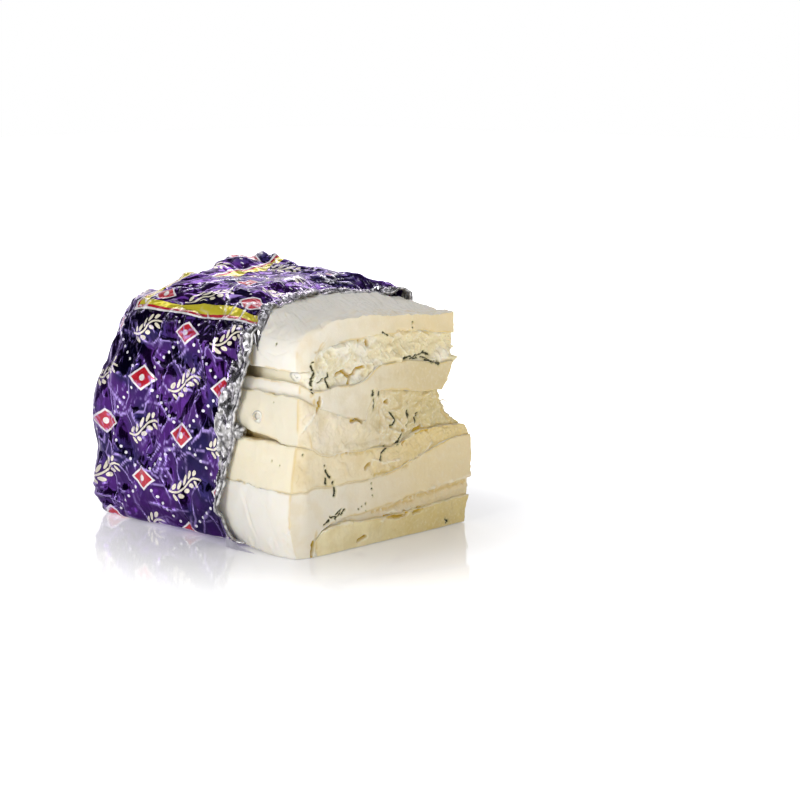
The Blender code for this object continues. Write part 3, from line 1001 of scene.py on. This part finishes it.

# %% [markdown]
# ## The paste
#
# Both cheeses are pale, and the difference is in the warmth: the white layers are cool cream, the
# blue ones a dull straw that deepens where they are moist. The cut's colour drifts darker and warmer
# from the lit edge to the far lower corner, partly the paste's own colour and partly painted shade.
# Veins are grey-green, pockets are ochre. A little light goes under the skin, which is what makes
# dairy look soft and not like plaster.


# %% Paste finishes
def paste(name, rind, near, far, mottle, moist):
    """A cheese: the colour of its rind side, and of its cut at the near and the far edge."""
    made = Finish(
        name,
        {
            "Subsurface Weight": 0.36,
            "Subsurface Radius": (1.0, 0.75, 0.4),
            "Subsurface Scale": 0.0026,
            "Specular IOR Level": 0.35,
            "IOR": 1.45,
        },
    )
    point, _, y, z = made.place()
    # Towards the far edge the cut is darker and warmer, partly the paste's own colour and partly painted shade
    across = made.step(y, -42.0, 34.0)
    cut = made.blend(across, near, far)
    soft = made.clouds(point, 9.0, 3.0, 0.55)
    darker = made.blend(0.5, cut, tuple(c * k for c, k in zip(far, (0.9, 0.86, 0.74))))
    cut = made.blend(made.step(soft, 0.42, 0.66) * mottle, cut, darker)
    small = made.clouds(point, 1.6, 2.0)
    cut = made.blend(made.step(small, 0.5, 0.75) * mottle * 0.5, cut, near)
    skin = made.blend(made.step(made.clouds(point, 14.0, 3.0), 0.4, 0.7) * 0.25, rind, near)
    # Above mid-height the rind side is painted a little darker and greyer: painted shade
    skin = made.blend(made.step(z, 50.0, 70.0) * 0.12, skin, (0.42, 0.38, 0.32))
    colour = made.blend(made.painted("cut"), skin, cut)
    pocket = made.painted("pocket")
    grit = made.clouds(point, 0.7, 2.0)
    # Warm lines at seams and grooves, partly the paste's own ochre and partly painted shade; painted shade in
    # hollows
    colour = made.blend(made.painted("line") * 0.62, colour, (0.66, 0.47, 0.14))
    # Painted highlights on ridges and folds; the milky patches and the needle middles are the paste's own
    # colour
    colour = made.blend(made.painted("pale") * 0.7, colour, (0.85, 0.85, 0.84))
    # Painted shade deep in the recess and the crack, in a warm ochre
    colour = made.blend(made.painted("deep_shade") * 0.85, colour, (0.42, 0.29, 0.07))
    colour = made.blend(made.step(pocket, 0.05, 0.6) * 0.6, colour, (0.66, 0.50, 0.17))
    colour = made.blend(made.step(pocket, 0.5, 1.0) * 0.9, colour, (0.56, 0.36, 0.025))
    vein = made.painted("vein")
    colour = made.blend(made.step(vein, 0.02, 0.5) * 0.55, colour, (0.47, 0.43, 0.20))
    colour = made.blend(made.step(vein + grit * 1.1 - 0.3, 0.72, 1.02), colour, (0.05, 0.048, 0.02))
    # Needle rings: painted shade on one side of each rim, and dark hairs across it
    colour = made.blend(made.painted("ring") * 0.9, colour, (0.30, 0.30, 0.27))
    made.feed("Base Color", colour)
    made.feed("Roughness", 0.62 - made.painted("cut") * moist - made.step(soft, 0.5, 0.7) * 0.08)
    made.relief(small + grit * 0.6, 0.25, 0.25)
    return made


print("paste recipe ready")


# %% The six pastes
def tone(red, green, blue):
    """A colour picked on a screen, as the shader wants it."""
    return tuple(((c / 255.0 + 0.055) / 1.055) ** 2.4 if c > 10 else c / 3294.6 for c in (red, green, blue))


# Each cheese: its rind side, its cut at the near and at the far edge, how mottled, and how moist
PASTES = (
    ("white_paste", (238, 234, 224), (230, 222, 203), (224, 206, 163), 0.5, 0.12),
    # The inner white layer is the white cheese again, darker towards its far edge: painted shade where it is
    # set back
    ("shaded_white_paste", (236, 231, 219), (230, 222, 202), (210, 192, 147), 0.5, 0.12),
    ("upper_blue_paste", (234, 226, 200), (229, 221, 193), (224, 211, 171), 0.8, 0.18),
    ("middle_blue_paste", (228, 221, 199), (232, 220, 194), (209, 193, 143), 0.8, 0.18),
    ("lower_blue_paste", (237, 228, 203), (231, 217, 184), (219, 198, 142), 0.7, 0.18),
    ("base_blue_paste", (238, 228, 198), (238, 226, 184), (214, 194, 133), 0.7, 0.18),
)
pastes = {}
for name, rind, near, far, mottle, moist in PASTES:
    pastes[name] = paste(name, tone(*rind), tone(*near), tone(*far), mottle, moist)
print("pastes:", ", ".join(pastes))

# %% Build the layers
# Each layer: its node, its paste, its larger form, how crumbly it is, and what its rind side has
LAYERS = (
    ("mascarpone_top", "white_paste", as_packed, 0.0, "top"),
    ("gorgonzola_upper", "upper_blue_paste", fill_recess, 1.9, "upper"),
    ("mascarpone_upper", "shaded_white_paste", as_packed, 0.1, "plain"),
    ("gorgonzola_middle", "middle_blue_paste", close_crack, 1.3, "crack"),
    ("gorgonzola_lower", "lower_blue_paste", flush_low, 0.6, "crack"),
    ("mascarpone_lower", "white_paste", film_folds, 0.05, "plain"),
    ("mascarpone_thin", "white_paste", as_packed, 0.4, "plain"),
    ("gorgonzola_base", "base_blue_paste", as_packed, 0.3, "plain"),
)
layers = {}
for node, finish, form, crumble, rind in LAYERS:
    piece = traced(node, node + "_paste")
    refined(piece, 3, 50.0)
    unfolded(piece)
    # Only what shows is divided once more: the cut, the rind side and the top past the foil
    middle, facing = faces_of(piece)
    shown = (facing[:, 0] > 0.4) & (middle[:, 0] > 55.0)
    shown |= (facing[:, 1] < -0.4) & (middle[:, 0] > 18.0) & (middle[:, 2] > 2.0)
    shown |= (facing[:, 2] > 0.35) & (middle[:, 0] > 18.0) & (middle[:, 2] > 94.0)
    pick(piece, shown)
    edit(piece, lambda: bpy.ops.mesh.subdivide(number_cuts=1))
    shaped(piece, form, crumble, rind)
    alone(piece)
    bpy.ops.object.shade_smooth_by_angle(angle=math.radians(55.0))
    piece.data.materials.append(pastes[finish].material)
    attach(piece, "root")
    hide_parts(node)
    layers[node] = piece
    print(node, len(piece.data.polygons), "faces")

# %% [markdown]
# ## The foil
#
# Thin foil does not bend softly: it folds into flat facets with bright sharp creases. Soft noise
# gives rounded dunes, which look like cloth, so the height here is random at the corners of a grid
# and straight in between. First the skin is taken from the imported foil, and laid down on the cheese
# along its torn edge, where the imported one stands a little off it.


# %% The outer skin of the wrapping
def skin_of(node, name):
    """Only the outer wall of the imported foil, open towards the cut."""
    piece = traced(node, name)
    bm = bmesh.new()
    bm.from_mesh(piece.data)
    thin = [f for f in bm.faces if min(e.calc_length() for e in f.edges) < 1.0 * MM]
    bmesh.ops.delete(bm, geom=thin, context="FACES")
    walls = []
    left = set(bm.faces)
    while left:
        patch = {left.pop()}
        edge = list(patch)
        while edge:
            near = {f for e in edge.pop().edges for f in e.link_faces} & left
            left -= near
            patch |= near
            edge += near
        walls.append(patch)
    outer = max(walls, key=lambda patch: sum(f.calc_area() for f in patch))
    bmesh.ops.delete(bm, geom=[f for patch in walls if patch is not outer for f in patch], context="FACES")
    bm.to_mesh(piece.data)
    bm.free()
    print(name, "walls:", [len(patch) for patch in walls])
    return piece


foil = skin_of("foil_wrap", "foil_print")
shape_with(foil, "SUBSURF", levels=2, render_levels=2)
middle, facing = faces_of(foil)
pick(foil, ((facing[:, 1] < 0.3) | (facing[:, 2] > 0.3)) & (facing[:, 2] > -0.7))
edit(
    foil,
    lambda: bpy.ops.mesh.subdivide(number_cuts=2),
    lambda: bpy.ops.mesh.vertices_smooth(factor=0.5, repeat=5),
)
print("foil skin has", len(foil.data.polygons), "faces")


# %% The skin's torn edge
def boundary_loop(skin):
    """The open edge of the skin, in order: point numbers once round."""
    bm = bmesh.new()
    bm.from_mesh(skin.data)
    links = {}
    for e in bm.edges:
        if e.is_boundary:
            a, b = (v.index for v in e.verts)
            links.setdefault(a, []).append(b)
            links.setdefault(b, []).append(a)
    bm.free()
    start = min(links)
    loop = [start]
    before, here = None, start
    while True:
        ahead = [v for v in links[here] if v != before]
        if not ahead or ahead[0] == start:
            return loop
        before, here = here, ahead[0]
        loop.append(here)


foil_base, foil_facing = points_of(foil)
loop = boundary_loop(foil)
print("the torn edge has", len(loop), "points")

# %% Lying down at the rim
TOP_PIECE = layers["mascarpone_top"]
edge_away, edge_nearest = distance_to(foil_base, foil_base[loop])
edge_height = foil_base[loop][edge_nearest, 2]
x, y, z = foil_base.T
near_rim = (edge_away < 16.0) & (foil_facing[:, 2] > 0.3) & (z > 96.0) & (y < 46.0)
settled = np.zeros(len(x))
for index in np.flatnonzero(near_rim):
    from_above = Vector((x[index], y[index], 140.0)) * MM
    hit, spot = TOP_PIECE.ray_cast(from_above, Vector((0.0, 0.0, -1.0)))[:2]
    if hit:
        settled[index] = max(z[index] - spot.z / MM - 0.7, 0.0)
# Past the cheese's back edge there is nothing to lie on, so the foil comes down as its neighbour does
beyond = np.flatnonzero((edge_away < 16.0) & (z > 96.0) & (y >= 46.0))
laid = np.flatnonzero(settled > 0.0)
settled[beyond] = settled[laid[distance_to(foil_base[beyond], foil_base[laid])[1]]]
foil_base[:, 2] -= settled * (1.0 - smooth(edge_away, 3.0, 16.0))
put_points(foil, foil_base)
foil_base, foil_facing = points_of(foil)
print("the rim comes down by up to", round(float(settled.max()), 1), "mm")

# %% [markdown]
# ## Creases
#
# The straight noise from before is used at three sizes, and bent by itself so that no two facets
# look alike. It is stretched where the foil was pulled: upright on the side and at the end, along
# the loaf on top. Thin raised lines run across the facets, the creases that stay when foil is
# folded and opened again. Near the torn edge the band of bare foil stands proud of the print, with
# smaller and sharper facets. On top, its far edge was lifted off the cheese and stayed up.


# %% Facets and lines
def lookup(table, place):
    """Reads a table of (place, value) rows, straight in between."""
    rows = np.array(table)
    return np.interp(place, rows[:, 0], rows[:, 1])


def crumpled(where, stretch, sizes, amounts, seed):
    """Facets at several sizes, bent by larger facets."""
    bends = [facets(where, sizes[0] * 1.4, seed + k) for k in (1, 2, 3)]
    bent = where + 0.22 * sizes[0] * np.stack(bends, axis=1)
    total = np.zeros(len(where))
    for index, (size, amount) in enumerate(zip(sizes, amounts)):
        total += amount * facets(bent * stretch, size, seed + 10 + index)
    return total


def creased(where, size, seed):
    """Long straight creases: thin lines where a field of flat facets passes through nought."""
    bent = where + 2.0 * np.stack([facets(where, 9.0, seed + k) for k in (1, 2, 3)], axis=1)
    worn = smooth(lumps(where, 16.0, seed + 4), -0.5, 0.3)
    return bump(facets(bent, size, seed), 0.075) * worn


print("facets and lines ready")

# %% Facets of each wall
x, y, z = foil_base.T
upward = smooth(foil_facing[:, 2], 0.35, 0.8)
endward = smooth(-foil_facing[:, 0], 0.35, 0.8) * (1.0 - upward)
sideward = 1.0 - upward - endward
crumple = sideward * crumpled(foil_base, (1.1, 1.0, 0.85), (22.0, 11.0, 5.0), (2.0, 1.5, 0.5), 100)
crumple += upward * crumpled(foil_base, (0.3, 1.4, 1.0), (14.0, 7.5, 4.2), (2.3, 1.7, 0.8), 200)
crumple += endward * crumpled(foil_base, (1.0, 1.6, 0.4), (14.0, 8.0, 4.4), (1.7, 1.2, 0.6), 300)
print("facets from", round(float(crumple.min()), 2), "to", round(float(crumple.max()), 2), "mm")

# %% Thin raised lines, and pleats by the table
lines = np.maximum(creased(foil_base, 17.0, 600), creased(foil_base * (0.7, 1.0, 1.0), 11.0, 620))
lines = np.maximum(lines, creased(foil_base * (1.0, 1.0, 0.7), 13.0, 640))
# The far wall has a coarser mesh, too coarse for thin lines
backward = smooth(foil_facing[:, 1], 0.0, 0.5)
lines = lines * (1.0 - backward)
crumple += 0.45 * lines
pleats = bump(z - 8.0, 9.0) * sideward * (1.0 - smooth(x, -50.0, -20.0))
crumple += pleats * 1.2 * facets(foil_base * (0.5, 0.5, 1.6), 5.0, 401)
print("lines on", round(float(lines.mean()), 3), "of the sheet")

# %% The band of bare foil
# How wide the band is at each height of the torn edge
BARE_BAND = (
    (0.0, 0.4),
    (9.0, 0.6),
    (14.0, 1.8),
    (20.0, 3.6),
    (33.0, 4.6),
    (36.5, 6.4),
    (45.0, 7.8),
    (51.0, 11.5),
    (57.0, 10.0),
    (60.0, 9.0),
    (67.0, 10.0),
    (73.0, 12.5),
    (78.0, 13.0),
    (80.5, 8.0),
    (87.0, 7.4),
    (95.0, 9.5),
    (100.0, 9.0),
    (103.5, 4.0),
)
band_width = lookup(BARE_BAND, edge_height) + 0.9 * facets(foil_base, 5.0, 402)
band_width = band_width + 0.5 * facets(foil_base, 2.4, 403)
band_width = np.where(y > 0.0, np.maximum(band_width, 3.0), band_width)
far_strip = smooth(y, 39.0, 50.0) * smooth(z, 80.0, 98.0)
band_width = band_width * (1.0 - 0.45 * far_strip)
band = smooth(band_width - edge_away, -0.35, 0.35)
crumple = crumple * smooth(edge_away, 0.0, 9.0) - 0.25 * (1.0 - smooth(edge_away, 0.0, 2.0))
torn = 2.0 * facets(foil_base, 7.0, 404) + facets(foil_base, 3.8, 405)
crumple += band * (0.8 * smooth(edge_away, 0.3, 2.0) + torn)
print("bare part", round(float(band.mean()), 3))

# %% Lifting the sheet
# How high the crest stands along the loaf, and how far the strip at the far edge stands off
CREST = (
    (-66.0, -2.0),
    (-59.0, -1.4),
    (-53.0, -0.8),
    (-48.5, 2.2),
    (-45.0, -0.8),
    (-42.0, 1.6),
    (-38.0, -0.6),
    (-31.0, 0.4),
    (-25.0, -0.4),
    (-12.0, 0.8),
    (6.0, 0.2),
    (20.0, 0.6),
    (34.0, 0.0),
    (44.0, 0.0),
)
STANDING = ((-9.0, 0.0), (0.0, 2.4), (8.0, 6.2), (22.0, 7.8), (30.0, 9.0), (36.0, 8.5))
floor_free = smooth(z, 0.2, 3.0)
lift = np.clip(0.3 + crumple, -1.1 * smooth(edge_away, 0.0, 6.0) - 0.2, 2.6) * floor_free
foil_shape = foil_base + foil_facing * lift[:, None]
peak = lookup(CREST, x + 1.5 * facets(foil_base, 6.0, 406))
foil_shape[:, 2] += peak * bump(y - 42.0, 5.0) * smooth(z, 100.0, 104.0)
foil_shape[:, 2] += lookup(STANDING, x) * far_strip
foil_shape[:, 2] = np.maximum(foil_shape[:, 2], 0.0)
put_points(foil, foil_shape)
print("the sheet moves from", round(float(lift.min()), 2), "to", round(float(lift.max()), 2), "mm")

# %% Painting the foil
bend = sharpness(foil)
# Ridges and raised crease lines are painted as highlights, at a strength that changes from place to place
line_highlight_strength = 0.25 + 0.6 * smooth(lumps(foil_base, 7.0, 660), -0.1, 0.6)
line_highlights = lines * smooth(bend, -0.02, 0.02) * line_highlight_strength
paint(foil, "bare", band)
paint(foil, "ridge", np.maximum(smooth(bend, 0.03, 0.09) * (1.0 - 0.6 * backward), line_highlights))
paint(foil, "valley_shade", smooth(-bend, 0.02, 0.12))
print("sharpest ridge", round(float(bend.max()), 2), "mm over its neighbours")

# %% [markdown]
# ## The print
#
# The foil was printed flat and then wrapped, so its pattern has to follow the sheet: up the side,
# over the shoulder and across the top. A UV map measured in millimetres along the sheet does that.
# The pattern itself is a plain trellis of dots with red lozenges at its crossings and a cream
# sprig in every field, and a yellow ribbon with red and white edging frames the top.

# %% Laying the sheet flat
SHOULDER = (38.5, 88.0, 15.0, 17.5)  # the middle of the shoulder's curve, and its two radii
ARC = 25.6  # how long the sheet is over the shoulder's quarter turn
CORNER = 20.0  # the radius at which the sheet turns round the wrapped end
UV_PER_MM = 0.01


def sheet_place(where, facing_up):
    """Along and up the sheet, in millimetres. Past the wrapped corner, along turns with the wall."""
    x, y, z = where.T
    out = -y - SHOULDER[0]
    high = np.maximum(z - SHOULDER[1], 0.0)
    angle = np.arctan2(high / SHOULDER[3], np.maximum(out, 0.0) / SHOULDER[2] + 1e-6)
    up = np.minimum(z, SHOULDER[1]) + ARC * angle / (math.pi / 2) + np.maximum(-out, 0.0) * (z > 92.0)
    turn = np.arctan2(np.maximum(-(x + 69.0 - CORNER), 0.0), np.maximum(-y - (51.0 - CORNER), 0.0) + 1e-6)
    around = np.maximum(x, -69.0 + CORNER) - CORNER * turn - np.maximum(y + 51.0 - CORNER, 0.0) * (x < -50.0)
    around -= np.maximum(x + 66.0, 0.0) * smooth(y, 48.0, 54.0) * (x < -47.0)
    along = np.where(facing_up, x, around)
    height = np.where(facing_up, up, np.minimum(z, 88.0) + np.maximum(z - 88.0, 0.0) * 1.3)
    return np.stack([along, height], axis=1)


def unroll(piece, base):
    """Writes the sheet's UV map, face by face, so that the top and the end each stay whole."""
    mesh = piece.data
    owners, totals = face_points(piece)
    middle, facing = faces_of(piece)
    face_up = (np.abs(facing[:, 2]) > 0.55) | (middle[:, 0] > -48.0)
    loop_up = np.repeat(face_up, totals)
    flat = sheet_place(base[owners], loop_up)
    # On top the sheet was pushed together, so folds swallow parts of the print
    pushed = smooth(base[owners, 2], 99.0, 105.0)
    flat[:, 1] += 4.5 * pushed * facets(base[owners] * (0.3, 1.4, 1.0), 7.5, 211)
    flat[:, 0] += 2.5 * pushed * facets(base[owners] * (0.5, 1.2, 1.0), 6.0, 212)
    layer = mesh.uv_layers.new(name="sheet")
    layer.data.foreach_set("uv", (flat * UV_PER_MM).astype(np.float32).ravel())
    return flat


flat = unroll(foil, foil_base)
print("sheet runs", flat.min(axis=0).round(), "to", flat.max(axis=0).round(), "mm")

# %% Trellis
TRELLIS = (54.0, 46.0)  # how wide and how high one field is, in millimetres
DOTS = 9.0  # dots from one crossing to the next


def trellis(made, one, two):
    """Dots along two families of slanting lines, and where they cross a lozenge with a heart and a rim."""
    off_one = one - made.nearest(one)
    off_two = two - made.nearest(two)
    across = (off_one + off_two) * (TRELLIS[0] / 2)
    up = (off_one - off_two) * (TRELLIS[1] / 2)
    lozenge = made.size(across) / 6.8 + made.size(up) / 4.8
    slant = math.hypot(1.0 / TRELLIS[0], 1.0 / TRELLIS[1])
    run = 2.0 / (TRELLIS[0] * TRELLIS[1]) / slant
    rows = []
    for off, other in ((off_one, two), (off_two, one)):
        beads = other * DOTS
        bead = made.length(off * (1.0 / slant), (beads - made.nearest(beads)) * (1.0 / DOTS / run))
        rows.append(made.inside(bead, 0.75))
    dots = made.either(*rows) * (1.0 - made.inside(lozenge, 1.6, 0.1))
    rim = made.inside(lozenge, 1.24, 0.04)
    red = made.inside(lozenge, 1.0, 0.04)
    heart = made.inside(made.length(across, up), 1.5) * red
    return dots, rim, red, heart


print("a lozenge every", TRELLIS, "mm")


# %% Sprigs
def sprigs(made, one, two):
    """A wavy stem with slanting leaves in every field of the trellis."""
    field_one = one - made.maths("FLOOR", one) - 0.5
    field_two = two - made.maths("FLOOR", two) - 0.5
    across = (field_one + field_two) * (TRELLIS[0] / 2)
    up = (field_one - field_two) * (TRELLIS[1] / 2)
    along = across * 0.94 + up * 0.34
    stem = up * 0.94 - across * 0.34 - made.maths("SINE", along * 0.28) * 1.8
    branch = made.inside(made.size(stem), 0.5) * made.inside(made.size(along), 11.4)
    steps = along / 3.8
    leaf_along = (steps - made.nearest(steps)) * 3.8
    leaf_up = made.size(stem) - 2.5
    leaf = made.length((leaf_along * 0.78 + leaf_up * 0.62) / 2.0, (leaf_up * 0.78 - leaf_along * 0.62) / 0.9)
    leaves = made.inside(leaf, 1.0, 0.1) * made.inside(made.size(along), 9.5)
    return made.either(branch, leaves)


print("sprigs ready")

# %% Ribbon
RIBBON_CORNER = (-38.0, 104.0)  # along and up the sheet


def ribbon_band(made, along, up, first, last, blur=0.2):
    """A band from first to last in from the ribbon's corner, along the shoulder and across the top."""
    left = along - RIBBON_CORNER[0]
    low = up - RIBBON_CORNER[1]
    arms = []
    for past, start in ((low, left), (left, low)):
        across = (1.0 - made.inside(past, first)) * made.inside(past, last)
        arms.append(across * made.step(start, first - blur, first + blur))
    return made.either(*arms)


print("the ribbon turns at", RIBBON_CORNER, "mm")

# %% The print
RED = (0.50, 0.010, 0.022)
CREAM = (0.86, 0.80, 0.62)
YELLOW = (0.80, 0.69, 0.035)


def printed(made, along, up, colour):
    """The print on its ground. Gives the colour, how much ink lies there, and where it is yellow."""
    one = along / TRELLIS[0] + up / TRELLIS[1]
    two = along / TRELLIS[0] - up / TRELLIS[1]
    clear = 1.0 - ribbon_band(made, along, up, -4.5, 6.5, 0.5)
    dots, rim, red, heart = (mask * clear for mask in trellis(made, one, two))
    sprig = sprigs(made, one, two) * clear
    yellow = ribbon_band(made, along, up, 0.0, 4.6)
    red_edge = ribbon_band(made, along, up, -1.5, 0.0)
    white_edge = ribbon_band(made, along, up, -2.7, -1.5)
    inks = (
        (dots, (0.86, 0.85, 0.88)),
        (sprig, CREAM),
        (rim, (0.88, 0.84, 0.84)),
        (red, RED),
        (heart, (0.88, 0.84, 0.80)),
        (white_edge, (0.88, 0.86, 0.84)),
        (red_edge, RED),
        (yellow, YELLOW),
    )
    for mask, ink in inks:
        colour = made.blend(mask, colour, ink)
    return colour, made.either(dots, sprig, rim, white_edge, red_edge, red * 0.8), yellow


print("print ready")


# %% Printed foil finish
def printed_foil():
    """Lacquered foil: clear violet over bright metal, flat inks on it, and silver where it is torn."""
    made = Finish(
        "printed_foil",
        {
            "Specular IOR Level": 0.6,
            "Specular Tint": (0.62, 0.54, 0.74, 1.0),
            "IOR": 1.5,
            "Coat Weight": 0.12,
            "Coat Roughness": 0.1,
        },
    )
    point, x, _, z = made.place()
    sheet = made.node("ShaderNodeUVMap", {"uv_map": "sheet"}, {})
    wobble = made.clouds(point, 6.0, 2.0) * 0.9
    parts = [made.node("ShaderNodeSeparateXYZ", {}, {0: sheet}, axis) for axis in (0, 1)]
    along, up = (part * (1.0 / UV_PER_MM) + wobble for part in parts)
    shade = made.step(made.clouds(point, 24.0, 2.0), 0.4, 0.62)
    violet = made.blend(shade, (0.056, 0.010, 0.135), (0.012, 0.007, 0.062))
    colour, ink, yellow = printed(made, along, up, violet)
    wear = made.clouds(point, 3.0, 3.0)
    bare = made.step(made.painted("bare"), 0.35, 0.65)
    grey = made.blend(made.step(wear, 0.38, 0.62), (0.12, 0.118, 0.11), (0.42, 0.41, 0.40))
    colour = made.blend(bare, colour, grey)
    covered = 1.0 - bare
    # The wrapped end is painted darker, painted shade, with weaker painted highlights and less metal
    shaded_end = 1.0 - made.step(x, -69.0, -52.0)
    colour = made.blend(shaded_end * 0.6, colour, (0.012, 0.006, 0.05))
    # Painted shade in the valleys of the creases
    colour = made.blend(made.painted("valley_shade") * 0.65, colour, (0.008, 0.006, 0.03))
    # Painted highlights on sharp ridges and crease lines: lavender on the side, near white on top and on bare
    # foil
    high = made.step(z, 92.0, 100.0)
    sheen = made.blend(made.either(high, bare), (0.52, 0.38, 0.86), (0.92, 0.90, 0.94))
    colour = made.blend(made.painted("ridge") * (0.7 + high * 0.25 - shaded_end * 0.35), colour, sheen)
    made.feed("Base Color", colour)
    made.feed("Metallic", 0.95 - ink * covered * 0.72 - yellow * covered * 0.6 - shaded_end * 0.4 * covered)
    made.feed("Roughness", 0.07 + wear * 0.09 + ink * 0.15 + bare * 0.08)
    crinkle = made.node(
        "ShaderNodeTexVoronoi",
        {"feature": "F1", "distance": "MINKOWSKI"},
        {"Vector": point, "Scale": 420.0, "Exponent": 1.2, "Randomness": 1.0},
    )
    made.relief(crinkle + made.clouds(point, 1.2, 2.0) * 0.4, 0.07, 0.2)
    return made


foil.data.materials.append(printed_foil().material)
alone(foil)
bpy.ops.object.shade_smooth_by_angle(angle=math.radians(12.0))
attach(foil, "root")
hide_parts("foil_wrap")
print("printed foil on", len(foil.data.polygons), "faces")


# %% Bare foil finish
def bare_foil():
    """Dull silver, a little tarnished."""
    made = Finish("bare_foil", {"Metallic": 0.95, "Specular IOR Level": 0.5})
    point = made.place()[0]
    tarnish = made.clouds(point, 2.6, 3.0)
    made.feed("Base Color", made.blend(made.step(tarnish, 0.35, 0.7), (0.16, 0.155, 0.15), (0.62, 0.61, 0.60)))
    made.feed("Roughness", 0.24 + tarnish * 0.2)
    made.relief(made.clouds(point, 1.4, 2.0), 0.3, 0.3)
    return made


silver = bare_foil()
pale_foil = Finish("pale_foil", {"Metallic": 0.5, "Base Color": (0.60, 0.58, 0.66, 1.0), "Roughness": 0.35})
print("bare foil ready")

# %% [markdown]
# ## The torn edge and loose ends
#
# The skin has no thickness, so at its torn edge a narrow strip turns under, down on the cheese. It
# is drawn as rows of points along the skin's own edge, so it follows every tatter. A twisted knob
# of bare foil is pushed into the crack, and a flat flap lies on the table at the near corner.


# %% Strips and their finish
def strip(name, lines):
    """A strip of quads through rows of points, each row a line along the rim."""
    rows, count = len(lines), len(lines[0])
    bpy.ops.object.select_all(action="DESELECT")
    bpy.ops.mesh.primitive_grid_add(x_subdivisions=count - 1, y_subdivisions=rows - 1, size=1.0)
    piece = bpy.context.object
    piece.name = name
    across = points_of(piece)[0] / 1000.0 + [0.5, 0.5, 0.0]
    order = np.round(across * [count - 1, rows - 1, 0.0])
    grid = np.stack(lines)
    put_points(piece, grid[order[:, 1].astype(int), order[:, 0].astype(int)])
    return piece


def dressed(piece, finish):
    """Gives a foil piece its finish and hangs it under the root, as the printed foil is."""
    alone(piece)
    bpy.ops.object.shade_smooth_by_angle(angle=math.radians(25.0))
    piece.data.materials.append(finish.material)
    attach(piece, "root")
    print(piece.name, len(piece.data.polygons), "faces")


print("strips ready")

# %% The edge that turns under
# How far each row of the strip lies out past the torn edge, and how far down
STRIP = ((0.0, 0.0), (0.45, -0.1), (0.7, -0.5), (0.6, -1.0), (0.2, -1.4), (-1.0, -1.6))
shape_now, normals_now = points_of(foil)
edge_points = shape_now[loop]
edge_normals = normals_now[loop]
start = int(np.argmin(edge_points[:, 2]))
edge_points = np.roll(edge_points, -start, axis=0)
edge_normals = np.roll(edge_normals, -start, axis=0)
above = edge_points[:, 2] > 0.6
edge_points = edge_points[above]
edge_normals = edge_normals[above]
forward = np.array([1.0, 0.0, 0.0]) - edge_normals * edge_normals[:, :1]
forward /= np.linalg.norm(forward, axis=1)[:, None]
lines = []
for out, down in STRIP:
    line = edge_points + forward * out + edge_normals * down
    ragged = np.stack([facets(line, 2.6, seed) for seed in (61, 62, 63)], axis=1)
    lines.append(line + 0.4 * abs(out) * ragged)
rim = strip("foil_rim", lines)
shape_with(rim, "SUBSURF", levels=1, render_levels=1)
dressed(rim, silver)

# %% Knob of bare foil
KNOB_PLACE = (36.2, -53.0, 52.2)
KNOB_SIZE = (3.5, 2.4, 3.3)
bpy.ops.object.select_all(action="DESELECT")
bpy.ops.mesh.primitive_ico_sphere_add(subdivisions=5, radius=1.0)
knob = bpy.context.object
knob.name = "foil_knob"
where = points_of(knob)[0] * MM * KNOB_SIZE + KNOB_PLACE
outward = where - KNOB_PLACE
outward /= np.linalg.norm(outward, axis=1)[:, None]
where += outward * (0.9 * facets(where, 3.2, 501) + 0.7 * facets(where, 1.7, 502))[:, None]
put_points(knob, where)
dressed(knob, silver)

# %% Flap on the table
# The flap's upper and lower edge, from under the torn edge towards the corner of the loaf
FLAP_HIGH = (
    (29.0, -55.2, 4.2),
    (33.0, -55.6, 3.0),
    (38.0, -56.2, 1.9),
    (43.0, -56.6, 0.9),
    (48.0, -56.8, 0.25),
)
FLAP_LOW = (
    (30.0, -56.6, 0.15),
    (34.0, -57.2, 0.15),
    (39.0, -57.5, 0.15),
    (44.0, -57.4, 0.15),
    (49.0, -57.0, 0.15),
)
along = np.linspace(0.0, len(FLAP_HIGH) - 1.0, 61)
high, low = (
    np.stack([np.interp(along, range(len(line)), np.array(line)[:, axis]) for axis in range(3)], axis=1)
    for line in (FLAP_HIGH, FLAP_LOW)
)
lines = [high + (low - high) * part for part in np.linspace(0.0, 1.0, 13)]
for line in lines:
    line[:, 1] += 0.35 * facets(line, 4.0, 503) * smooth(line[:, 2], 0.1, 1.5)
flap = strip("foil_flap", lines)
shape_with(flap, "SOLIDIFY", thickness=0.12 * MM, offset=0.0)
dressed(flap, pale_foil)

# %% Curl of paste
CURL_FOOT = (68.5, 38.8, 56.8)
CURL_LONG = 7.6
CURL_THICK = 0.42
bpy.ops.object.select_all(action="DESELECT")
bpy.ops.mesh.primitive_cylinder_add(vertices=8, radius=1.0, depth=1.0)
curl = bpy.context.object
curl.name = "paste_curl"
pick(curl, np.abs(faces_of(curl)[1][:, 2]) < 0.5)
edit(curl, lambda: bpy.ops.mesh.subdivide(number_cuts=9))
where = points_of(curl)[0] * MM
run = where[:, 2] + 0.5
thick = CURL_THICK * (1.0 - 0.6 * run)
hang = np.stack([where[:, 0] * thick, CURL_LONG * run, where[:, 1] * thick + 1.1 * np.sin(run * 4.2)], axis=1)
put_points(curl, hang + CURL_FOOT)
alone(curl)
bpy.ops.object.shade_smooth()
curl.data.materials.append(pastes["middle_blue_paste"].material)
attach(curl, "root")
print("curl", len(curl.data.polygons), "faces")
